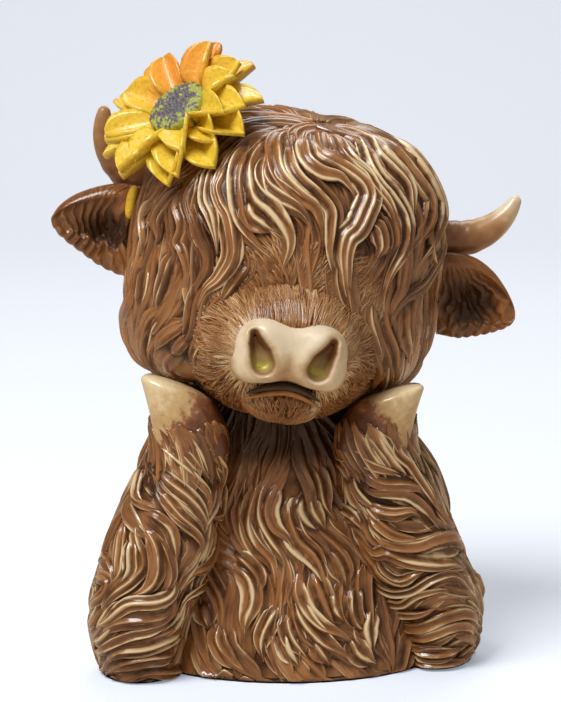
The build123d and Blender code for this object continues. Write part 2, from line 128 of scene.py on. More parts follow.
def curve_through(points: Array, step: float) -> Array:
    """A smooth line through points, evenly stepped.

    Args:
        points: At least two points.
        step: The wanted distance between points of the line.

    Returns:
        The line's points.
    """
    points = np.asarray(points, float)
    ends = np.vstack([2 * points[0] - points[1], points, 2 * points[-1] - points[-2]])
    share = np.linspace(0.0, 1.0, 12, endpoint=False)[:, None]
    spans = []
    for a, b, c, d in zip(ends, ends[1:], ends[2:], ends[3:]):
        spans.append(
            0.5 * (2 * b + (c - a) * share + (2 * a - 5 * b + 4 * c - d) * share**2
                   + (3 * b - a - 3 * c + d) * share**3)
        )
    line = np.vstack([*spans, points[-1:]])
    run = np.concatenate([[0.0], np.cumsum(np.linalg.norm(np.diff(line, axis=0), axis=1))])
    even = np.linspace(0.0, run[-1], max(int(round(run[-1] / step)), 3) + 1)
    return np.stack([np.interp(even, run, line[:, axis]) for axis in range(line.shape[1])], axis=1)


def drift(points: Array, scale: float, seed: int) -> Array:
    """A slow random value from -1 to 1 that changes smoothly over space.

    Args:
        points: Where it is wanted.
        scale: The size of its patches.
        seed: Picks the pattern.

    Returns:
        The value at each point.
    """
    rng = np.random.default_rng(seed)
    waves = rng.normal(size=(7, 3)) / scale
    phases = rng.uniform(0.0, 2 * math.pi, 7)
    return np.sin(np.asarray(points, float) @ waves.T * 2.2 + phases).mean(axis=-1) * 1.9


@dataclass(frozen=True)
class PhotoView:
    """The photograph's camera, which also turns its pixels into lines of sight.

    The scale is the size of a pixel at the target, and the target lies at the middle of the frame.
    """

    width: int = 561
    height: int = 702
    scale: float = 0.235
    distance: float = 700.0
    elevation: float = 10.0
    target: Point = (-1.5, -5.0, 73.9)
    sensor: float = 24.0

    @property
    def back(self) -> Array:
        """The way from the target to the camera."""
        lift = math.radians(self.elevation)
        return np.array([0.0, -math.cos(lift), math.sin(lift)])

    @property
    def up(self) -> Array:
        """The way up the picture."""
        lift = math.radians(self.elevation)
        return np.array([0.0, math.sin(lift), math.cos(lift)])

    @property
    def eye(self) -> Array:
        """Where the camera stands."""
        return np.array(self.target) + self.back * self.distance

    def sight(self, pixel: Pixel) -> Array:
        """The line of sight through a pixel.

        Args:
            pixel: A place in the photograph, from its upper left corner.

        Returns:
            The direction away from the camera.
        """
        across = (pixel[0] - self.width / 2) * self.scale
        rise = (self.height / 2 - pixel[1]) * self.scale
        aim = np.array([across, 0.0, 0.0]) + self.up * rise - self.back * self.distance
        return aim / np.linalg.norm(aim)

    def on_plane(self, pixels: Stroke, point: Array, normal: Array) -> Array:
        """Where the lines of sight through pixels meet a plane.

        Args:
            pixels: Places in the photograph.
            point: A point of the plane.
            normal: The way straight out of the plane.

        Returns:
            The points met, one for each pixel.
        """
        sights = np.array([self.sight(pixel) for pixel in pixels])
        far = ((point - self.eye) @ normal) / (sights @ normal)
        return self.eye + sights * far[:, None]

    def add_camera(self) -> None:
        """Adds the camera to the scene."""
        data = bpy.data.cameras.new("camera")
        data.sensor_fit = "VERTICAL"
        data.sensor_height = self.sensor
        data.lens = self.distance / (self.height * self.scale) * self.sensor
        camera = bpy.data.objects.new("camera", data)
        bpy.context.scene.collection.objects.link(camera)
        camera.location = Vector(self.eye * MM)
        camera.rotation_euler = (math.radians(90.0 - self.elevation), 0.0, 0.0)
        bpy.context.scene.camera = camera


VIEW = PhotoView()


def tube_faces(rings: int, around: int) -> Faces:
    """Faces of a tube of closed rings that follow one another, closed at both ends.

    Args:
        rings: How many rings there are.
        around: How many points each ring has.

    Returns:
        The faces, as lists of point numbers.
    """
    first = np.arange(rings - 1)[:, None] * around
    here = np.arange(around)[None, :]
    there = (here + 1) % around
    quads = np.stack([first + here, first + there, first + around + there, first + around + here], axis=-1)
    ends = [list(range(around))[::-1], list(range((rings - 1) * around, rings * around))]
    return quads.reshape(-1, 4).tolist() + ends


class Surface:
    """A closed base form that hair lies on."""

    search = 60.0

    def __init__(self, verts: Array, faces: Faces) -> None:
        """Keeps the form and makes it ready to be searched.

        Args:
            verts: The form's points.
            faces: The form's faces, turned outwards.
        """
        self.verts = verts
        self.faces = faces
        self.tree = BVHTree.FromPolygons(verts.tolist(), faces)
        self.corners = np.array([face[:4] if len(face) > 3 else [*face, face[0]] for face in faces])
        edge_a = verts[self.corners[:, 1]] - verts[self.corners[:, 0]]
        edge_b = verts[self.corners[:, 2]] - verts[self.corners[:, 0]]
        flat = np.cross(edge_a, edge_b)
        self.areas = np.linalg.norm(flat, axis=1)
        normals = np.zeros_like(verts)
        for corner in range(4):
            np.add.at(normals, self.corners[:, corner], flat)
        self.normals = unit(normals)

    def nearest(self, points: Array) -> tuple[Array, Array]:
        """The nearest places on the form, with its normals there.

        Args:
            points: Points in space.

        Returns:
            The places, and the unit normals.
        """
        found = [self.tree.find_nearest(point) for point in points.tolist()]
        places = np.array([tuple(hit[0]) for hit in found])
        around = self.corners[[hit[2] for hit in found]]
        gap = np.linalg.norm(self.verts[around] - places[:, None], axis=-1)
        weight = 1.0 / (gap**2 + 1e-4)
        normals = (self.normals[around] * weight[..., None]).sum(axis=1)
        return places, unit(normals)

    def under_pixel(self, pixel: Pixel) -> Array:
        """The place on the form that the camera sees at a pixel, or the nearest one at its outline.

        Args:
            pixel: A place in the photograph.

        Returns:
            The place on the form.
        """
        sight = VIEW.sight(pixel)
        hit = self.tree.ray_cast(Vector(VIEW.eye), Vector(sight))[0]
        if hit is not None:
            return np.array(hit)
        reach = np.linspace(VIEW.distance - self.search, VIEW.distance + self.search, 60)
        tries = [self.tree.find_nearest(Vector(VIEW.eye + sight * far)) for far in reach]
        return np.array(min(tries, key=lambda hit: hit[3])[0])

    def stroke(self, pixels: Stroke) -> Array:
        """A stroke of the photograph laid on the form."""
        return np.array([self.under_pixel(pixel) for pixel in pixels])

    def scatter(self, spacing: float, seed: int) -> Array:
        """Places spread over the form at random.

        Args:
            spacing: The least distance between two of them.
            seed: Picks the pattern.

        Returns:
            The places.
        """
        rng = np.random.default_rng(seed)
        count = int(self.areas.sum() / spacing**2 * 5)
        picks = rng.choice(len(self.faces), count, p=self.areas / self.areas.sum())
        mix = rng.dirichlet(np.ones(4), count)
        spots = (self.verts[self.corners[picks]] * mix[..., None]).sum(axis=1)
        kept: dict[tuple[int, ...], list[Array]] = {}
        chosen = []
        for spot in spots:
            cell = tuple(np.floor(spot / spacing).astype(int))
            near = [
                other
                for dx in (-1, 0, 1) for dy in (-1, 0, 1) for dz in (-1, 0, 1)
                for other in kept.get((cell[0] + dx, cell[1] + dy, cell[2] + dz), ())
            ]
            if all(np.linalg.norm(spot - other) > spacing for other in near):
                kept.setdefault(cell, []).append(spot)
                chosen.append(spot)
        return np.array(chosen)


class HairFlow:
    """The way that the hair lies on a form, blended from strokes."""

    step = 1.0
    sample = 2.0
    neighbours = 7
    softness = 4.0
    sway_length = 2.6

    def __init__(self, surface: Surface, strokes: list[Array]) -> None:
        """Samples the strokes.

        Args:
            surface: The form that the strokes lie on.
            strokes: Lines on the form, from the root of the hair to its tip.
        """
        self.surface = surface
        points, ways = [], []
        for stroke in strokes:
            line = curve_through(stroke, self.sample)
            ways.append(unit(np.gradient(line, axis=0)))
            points.append(line)
        self.points = np.vstack(points)
        self.ways = np.vstack(ways)
        self.tree = KDTree(len(self.points))
        for number, point in enumerate(self.points):
            self.tree.insert(point, number)
        self.tree.balance()

    def way(self, point: Array) -> Array:
        """The direction of the hair near a point.

        Args:
            point: A place on the form.

        Returns:
            The direction, not brought to length 1.
        """
        total = np.zeros(3)
        for _, number, gap in self.tree.find_n(Vector(point), self.neighbours):
            total += self.ways[number] / (gap * gap + self.softness)
        return total

    def trace(
        self, seed: Array, length: float, sign: float, sway: float, phase: float,
    ) -> list[Array]:
        """Follows the hair from a place.

        Args:
            seed: The place to start.
            length: How far to go.
            sign: 1 towards the tips, -1 towards the roots.
            sway: How far a lock turns from side to side, in radians.
            phase: Where in its sway the lock starts.

        Returns:
            The points passed, without the first one.
        """
        point = np.array(seed, float)
        passed = []
        for stage in range(int(length / self.step)):
            normal = np.array(self.surface.tree.find_nearest(Vector(point))[1])
            ahead = self.way(point) * sign
            ahead = ahead - normal * (ahead @ normal)
            ahead = ahead / max(np.linalg.norm(ahead), 1e-6)
            turn = sway * math.sin(phase + sign * stage * self.step / self.sway_length)
            ahead = ahead * math.cos(turn) + np.cross(normal, ahead) * math.sin(turn)
            point = np.array(self.surface.tree.find_nearest(Vector(point + ahead * self.step))[0])
            passed.append(point)
        return passed

    def lock_line(
        self, seed: Array, back: float, ahead: float, sway: float, phase: float,
    ) -> Array:
        """The middle line of a lock through a place.

        Args:
            seed: The place.
            back: How far it goes from there towards its root.
            ahead: How far it goes towards its tip.
            sway: How far it turns from side to side, in radians.
            phase: Where in its sway it is at the place.

        Returns:
            The line's points, from root to tip.
        """
        root = self.trace(seed, back, -1.0, sway, phase)
        tip = self.trace(seed, ahead, 1.0, sway, phase)
        return np.array([*root[::-1], seed, *tip])


@dataclass(frozen=True)
class LockStyle:
    """The carving of a kind of lock.

    Attributes:
        width: Half the width at its widest.
        grooves: How many grooves run along it.
        rise: How high its middle stands.
        carve: The depth of a groove, as a share of its width.
        lift: How high it lies over the form.
        tip: The width at its tip, as a share.
        root: The width at its root, as a share.
        step: The distance between its rings.
        paint: How much pale paint its crests take.
        bare: The chance that a crest takes hardly any.
        tone: The least share of the lighter brown.
        over: How far its form stands out of its piece's other forms.
    """

    width: float
    grooves: int
    rise: float
    carve: float = 0.34
    lift: float = 0.0
    tip: float = 0.12
    root: float = 0.3
    step: float = 1.0
    paint: float = 0.6
    bare: float = 0.42
    tone: float = 0.0
    over: float = 0.0


class HairMesh:
    """Gathers carved locks into one mesh, with the masks that its paint follows."""

    masks = ("crest", "cavity", "tone", "pale", "run", "side")
    grid = 1.3
    full_depth = 1.15
    sunk = -0.7

    def __init__(self, seed: int) -> None:
        """Starts an empty mesh.

        Args:
            seed: Picks the small differences between locks.
        """
        self.rng = np.random.default_rng(seed)
        self.verts: list[Array] = []
        self.faces: Faces = []
        self.values: dict[str, list[Array]] = {name: [] for name in (*self.masks, "height")}
        self.count = 0

    def take(self, verts: Array, faces: Faces, **masks: Array | float) -> None:
        """Adds a piece of mesh.

        Args:
            verts: Its points.
            faces: Its faces.
            masks: One value for each point or one for all, by name; a mask that isn't given is 0.
        """
        self.faces.extend([[corner + self.count for corner in face] for face in faces])
        self.verts.append(verts)
        for name, kept in self.values.items():
            kept.append(np.broadcast_to(np.asarray(masks.get(name, 0.0), float), (len(verts),)))
        self.count += len(verts)

    def add_lock(self, surface: Surface, line: Array, style: LockStyle) -> None:
        """Carves one lock along a line on a form.

        Args:
            surface: The form.
            line: The lock's middle, from root to tip.
            style: Its carving.
        """
        line = curve_through(line, style.step)
        middle, normal = surface.nearest(line)
        ahead = unit(np.gradient(middle, axis=0))
        across = unit(np.cross(normal, ahead))
        share = np.linspace(0.0, 1.0, len(middle))
        wide = style.width * (style.root + (1.0 - style.root) * smooth(share, 0.0, 0.25))
        wide = wide * (1.0 - (1.0 - style.tip) * smooth(share, 0.5, 1.0) ** 1.2)
        body = smooth(share, -0.03, 0.28 if style.grooves else 0.05) * (1.0 - 0.75 * smooth(share, 0.65, 1.0))
        spots, sharp, coats = self.section(style)
        lean = self.rng.uniform(-0.4, 0.4)
        pitch = 2.0 * wide / max(style.grooves, 1)
        dome = style.rise * (1.0 - 0.55 * spots**2 + lean * spots)
        cut = np.minimum(style.carve * self.rng.uniform(0.8, 1.2) * pitch, 0.85 * style.rise)
        high = body[:, None] * (style.lift + dome[None, :] - cut[:, None] * (1.0 - sharp)[None, :])
        high[:, 0] = high[:, -1] = self.sunk
        offset = across[:, None, :] * (wide[:, None] * spots[None, :])[..., None]
        places, out = surface.nearest((middle[:, None, :] + offset).reshape(-1, 3))
        verts = places + out * high.reshape(-1, 1)
        faces = [face[::-1] for face in tube_faces(len(middle), len(spots))]
        run = np.concatenate([[0.0], np.cumsum(np.linalg.norm(np.diff(middle, axis=0), axis=1))])
        fade = np.sin(math.pi * (0.06 + 0.9 * share)) ** 0.7
        pale = style.paint * self.rng.uniform(0.5, 1.3) * fade[:, None] * coats[None, :]
        crest = smooth(share, 0.0, 0.2)[:, None] * sharp[None, :]
        self.take(
            verts, faces, crest=crest.ravel(), height=high.ravel() + style.over, pale=pale.ravel(),
            tone=self.rng.uniform(style.tone, 1.0), run=np.repeat(run, len(spots)),
            side=(wide[:, None] * spots[None, :]).ravel(),
        )

    def section(self, style: LockStyle) -> tuple[Array, Array, Array]:
        """A cut across a lock.

        Args:
            style: Its carving; a plain hair has no grooves.

        Returns:
            The points across it, from -1 to 1, how near each is to a crest, and the pale paint of that crest.
        """
        grooves = style.grooves
        if grooves == 0:
            return np.array([-1.1, -0.5, 0.0, 0.5, 1.1]), np.array([0.0, 0.5, 1.0, 0.5, 0.0]), np.ones(5)
        parts = np.array([0.0, 0.13, 0.32, 0.5, 0.68, 0.87])
        edges = np.linspace(-1.0, 1.0, grooves + 1)
        edges[1:-1] += self.rng.uniform(-0.2, 0.2, grooves - 1) * 2.0 / grooves
        across = [a + (b - a) * parts for a, b in zip(edges, edges[1:])]
        spots = np.concatenate([[-1.12, -1.2], *across, [1.0, 1.2, 1.12]])
        sharp = np.concatenate([[0.0, 0.0], np.tile(np.abs(2 * parts - 1) ** 1.7, grooves), [1.0, 0.0, 0.0]])
        painted = 1.0 - style.bare
        chances = [style.bare, painted * 0.58, painted * 0.42]
        coats = self.rng.choice([0.12, 0.6, 1.25], grooves + 1, p=chances)
        return spots, sharp, coats[np.abs(spots[:, None] - edges[None, :]).argmin(axis=1)]

    def cavity(self, verts: Array, height: Array) -> Array:
        """How deep points lie below the highest hair beside them, as a mean over shifted grids.

        Args:
            verts: The points.
            height: How high each of them stands over its form.

        Returns:
            The depth of each point, from 0 to 1.
        """
        cell, full = self.grid, self.full_depth
        depth = np.zeros(len(verts))
        shifts = np.random.default_rng(4).uniform(0.0, cell, (6, 3))
        for shift in shifts:
            low = verts.min(axis=0) - cell - shift
            size = np.ceil((verts.max(axis=0) - low) / cell).astype(int) + 2
            spot = ((verts - low) / cell).astype(int)
            tops = np.full(tuple(size), -9.0)
            np.maximum.at(tops, tuple(spot.T), height)
            best = tops[tuple(spot.T)]
            for axis in range(3):
                for move in (-1, 1):
                    beside = spot.copy()
                    beside[:, axis] = np.clip(beside[:, axis] + move, 0, size[axis] - 1)
                    best = np.maximum(best, tops[tuple(beside.T)])
            depth += np.clip((best - height) / full, 0.0, 1.0) / len(shifts)
        return depth

    def shade_under_head(self, low: float, high: float) -> None:
        """Paints shade under the head on the hair of the front: the dark wash colour covers it more and more
        towards the top.

        Args:
            low: The level where the painted shade starts.
            high: The level from which it covers everything.
        """
        for number, verts in enumerate(self.verts):
            # Painted shade under the head: the front counts as a deep groove, more so towards the top.
            cover = smooth(verts[:, 2], low, high) * smooth(-verts[:, 1], -2.0, 8.0)
            self.values["cavity"][number] = np.maximum(self.values["cavity"][number], cover)

    def to_object(self, name: str, material: Material) -> bpy.types.Object:
        """Makes the Blender object.

        Args:
            name: The piece's name.
            material: Its finish.

        Returns:
            The object, with its masks as point attributes.
        """
        verts = np.vstack(self.verts)
        values = {name: np.concatenate(kept) for name, kept in self.values.items()}
        values["cavity"] = np.maximum(values["cavity"], self.cavity(verts, values.pop("height")))
        return make_object(name, verts, self.faces, material, values)


def outward(verts: Array, faces: Faces) -> Faces:
    """A closed form's faces, turned so that they look out of it.

    Args:
        verts: The form's points.
        faces: Its faces, all turned the same way.

    Returns:
        The faces as they were, or all of them turned round.
    """
    corners = np.array([face[:3] for face in faces])
    a, b, c = (verts[corners[:, k]] - verts.mean(axis=0) for k in range(3))
    if np.einsum("ij,ij->i", a, np.cross(b, c)).sum() >= 0.0:
        return faces
    return [face[::-1] for face in faces]


def make_object(
    name: str, verts: Array, faces: Faces, material: Material,
    masks: dict[str, Array] | None = None,
) -> bpy.types.Object:
    """Makes a smooth-shaded Blender object.

    Args:
        name: The piece's name.
        verts: Its points, in millimetres.
        faces: Its faces.
        material: Its finish.
        masks: Values for each point, which the finish reads by name.

    Returns:
        The object, linked to the scene.
    """
    mesh = bpy.data.meshes.new(name)
    mesh.from_pydata((np.asarray(verts) * MM).tolist(), [], faces)
    for mask, values in (masks or {}).items():
        attribute = mesh.attributes.new(mask, "FLOAT", "POINT")
        attribute.data.foreach_set("value", np.asarray(values, np.float32))
    mesh.polygons.foreach_set("use_smooth", np.ones(len(mesh.polygons), bool))
    mesh.materials.append(material)
    mesh.update()
    piece = bpy.data.objects.new(name, mesh)
    bpy.context.scene.collection.objects.link(piece)
    return piece


def dress(piece: bpy.types.Object, slot: Slot, *nodes: str) -> None:
    """Fixes a piece to the part and hides the nodes that it stands for.

    Args:
        piece: The new piece.
        slot: The record's material slot that its finish belongs to; not used.
        nodes: The nodes of the model that it stands for.
    """
    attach(piece, BODY)
    if nodes:
        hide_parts(*nodes)
    LOG.info("%s: %d faces", piece.name, len(piece.data.polygons))


@dataclass(frozen=True)
class HeadFrame:
    """The head's own frame, which leans and turns: its middle and its two angles."""

    middle: Point = (-0.164, 0.0, 97.718)
    roll: float = 8.0
    turn: float = 5.0

    @property
    def axes(self) -> Array:
        """The head's X, Y and Z axes.

        Returns:
            A matrix with the axes as its columns.
        """
        r, t = math.radians(self.roll), math.radians(self.turn)
        x_axis = (math.cos(r) * math.cos(t), math.sin(t), -math.sin(r) * math.cos(t))
        y_axis = (-math.cos(r) * math.sin(t), math.cos(t), math.sin(r) * math.sin(t))
        return np.array([x_axis, y_axis, (math.sin(r), 0.0, math.cos(r))]).T

    def place(self, local: Array) -> Array:
        """Points given by their distances from the head's middle, in the part's frame."""
        return np.asarray(local, float) @ self.axes.T + np.array(self.middle)

    def local(self, points: Array) -> Array:
        """Points of the part's frame, as distances from the head's middle."""
        return (np.asarray(points, float) - np.array(self.middle)) @ self.axes


HEAD = HeadFrame()


def spline(stations: Array, values: Array, at: Array) -> Array:
    """A smooth curve through values.

    Args:
        stations: Where the values hold, rising.
        values: One row for each station.
        at: Where the curve is wanted.

    Returns:
        One row for each wanted place.
    """
    stations, values = np.asarray(stations, float), np.asarray(values, float)
    slopes = np.gradient(values, stations, axis=0)
    k = np.clip(np.searchsorted(stations, at) - 1, 0, len(stations) - 2)
    span = stations[k + 1] - stations[k]
    t = (at - stations[k]) / span
    if values.ndim > 1:
        span, t = span[:, None], t[:, None]
    return (
        (2 * t**3 - 3 * t**2 + 1) * values[k] + (t**3 - 2 * t**2 + t) * span * slopes[k]
        + (3 * t**2 - 2 * t**3) * values[k + 1] + (t**3 - t**2) * span * slopes[k + 1]
    )


def full_turn(count: int) -> Array:
    """Evenly spaced angles round a full turn, in radians."""
    return np.linspace(0.0, 2 * math.pi, count, endpoint=False)


def rings(centres: Array, firsts: Array, seconds: Array, around: int) -> Array:
    """The points of ellipses that follow one another.

    Args:
        centres: Their centres.
        firsts: Their first half axes.
        seconds: Their second half axes.
        around: How many points each of them has.

    Returns:
        The points, ring after ring.
    """
    turn = full_turn(around)
    wide = np.cos(turn)[None, :, None] * np.asarray(firsts)[:, None, :]
    deep = np.sin(turn)[None, :, None] * np.asarray(seconds)[:, None, :]
    return (np.asarray(centres)[:, None, :] + wide + deep).reshape(-1, 3)


def level_rings(centres: Array, wide: Array, deep: Array, around: int) -> Array:
    """The points of level ellipses, by their centres, half widths and half depths."""
    flat = np.zeros(len(centres))
    return rings(centres, np.column_stack([wide, flat, flat]), np.column_stack([flat, deep, flat]), around)


@dataclass(frozen=True)
class Column:
    """A form of level ellipses that stand on one another, such as the torso or a foreleg.

    Each section is its height, the place of its middle across and along, its half width and half depth.
    """

    sections: tuple[tuple[float, float, float, float, float], ...]
    inset: float = 1.4
    step: float = 1.1
    around: int = 84

    @property
    def low(self) -> float:
        """The level of the lowest section."""
        return self.sections[0][0]

    @property
    def high(self) -> float:
        """The level of the highest section."""
        return self.sections[-1][0]

    def rows(self, heights: Array) -> Array:
        """The middle and the half sizes at heights."""
        table = np.array(self.sections)
        return spline(table[:, 0], table[:, 1:], heights)

    def surface(self) -> Surface:
        """The column under its hair.

        Returns:
            The form in the part's frame.
        """
        heights = np.linspace(self.low, self.high, int((self.high - self.low) / self.step) + 1)
        rows = self.rows(heights)
        centres = np.column_stack([rows[:, :2], heights])
        verts = level_rings(centres, rows[:, 2] - self.inset, rows[:, 3] - self.inset, self.around)
        return Surface(verts, tube_faces(len(rows), self.around))

    def wrap(self, angles: Array, heights: Array) -> Array:
        """Points on the form.

        Args:
            angles: Their angles about its middle, from +X towards +Y.
            heights: Their heights.

        Returns:
            The points.
        """
        rows = self.rows(np.asarray(heights, float))
        x = rows[:, 0] + (rows[:, 2] - self.inset) * np.cos(angles)
        y = rows[:, 1] + (rows[:, 3] - self.inset) * np.sin(angles)
        return np.column_stack([x, y, heights])


TORSO = Column(
    ((0.5, 0.0, 1.0, 38.0, 31.5), (20.0, 0.0, 5.0, 41.0, 30.0), (44.0, 0.0, 6.0, 36.5, 24.5),
     (69.0, -4.2, 0.0, 19.0, 17.0)),
    around=120,
)
FORELEGS = {
    Side.RIGHT: Column(
        ((0.5, -34.5, -17.0, 10.5, 13.5), (11.0, -34.5, -17.0, 12.6, 16.0), (29.0, -30.0, -19.0, 13.6, 14.5),
         (57.0, -22.0, -20.5, 9.2, 10.6)),
    ),
    Side.LEFT: Column(
        ((0.5, 34.8, -5.5, 10.5, 13.5), (11.0, 34.8, -5.5, 12.6, 16.0), (29.0, 28.0, -13.5, 13.6, 14.5),
         (57.0, 20.0, -18.5, 9.2, 10.6)),
    ),
}
CUFFS = {
    Side.RIGHT: Column(
        ((43.0, -26.1, -19.9, 11.4, 12.5), (57.0, -22.1, -20.5, 10.6, 12.1),
         (62.2, -22.6, -20.5, 11.0, 12.6)),
    ),
    Side.LEFT: Column(
        ((43.0, 24.1, -16.2, 11.4, 12.5), (57.0, 20.1, -18.5, 10.6, 12.1),
         (62.0, 20.6, -18.5, 11.0, 12.6)),
    ),
}


@dataclass(frozen=True)
class HeadForm:
    """The head under its hair: a ball that is squarer below than above, flat at the neck.

    Its hair hangs lower on the right side, where it falls behind the hoof.
    """

    half: Point = (37.5, 36.0, 33.0)
    crown: float = 2.6
    jaw: float = 5.0
    inset: float = 1.6
    flat: float = 30.6
    droop: float = 2.6
    around: int = 150

    def reach(self, ways: Array) -> Array:
        """Points on the form in the head's own frame.

        Args:
            ways: Directions from the head's middle.

        Returns:
            The point in each direction.
        """
        ways = np.asarray(ways, float)
        wide, deep, high = (size - self.inset for size in self.half)
        power = np.where(ways[..., 2] > 0, self.crown, self.jaw)
        across = np.hypot(ways[..., 0] / wide, ways[..., 1] / deep)
        inside = (across**power + np.abs(ways[..., 2] / high) ** power) ** (1.0 / power)
        return ways / inside[..., None]

    def surface(self) -> Surface:
        """The head under its hair.

        Returns:
            The form in the part's frame.
        """
        wide, deep, high = (size - self.inset for size in self.half)
        below = np.linspace(-self.flat / high, 0.0, 28, endpoint=False)
        above = np.sin(np.linspace(0.0, math.pi / 2 - 0.03, 52))
        levels = np.concatenate([below, above])
        power = np.where(levels > 0, self.crown, self.jaw)
        share = (1.0 - np.abs(levels) ** power) ** (1.0 / power)
        flat = np.zeros(len(levels))
        centres = np.column_stack([flat, flat, levels * high])
        verts = level_rings(centres, share * wide, share * deep, self.around)
        verts[:, 2] -= self.droop * smooth(-verts[:, 0], 10.0, 28.0) * smooth(-verts[:, 2], 12.0, 28.0)
        return Surface(HEAD.place(verts), tube_faces(len(levels), self.around))


HEAD_FORM = HeadForm()


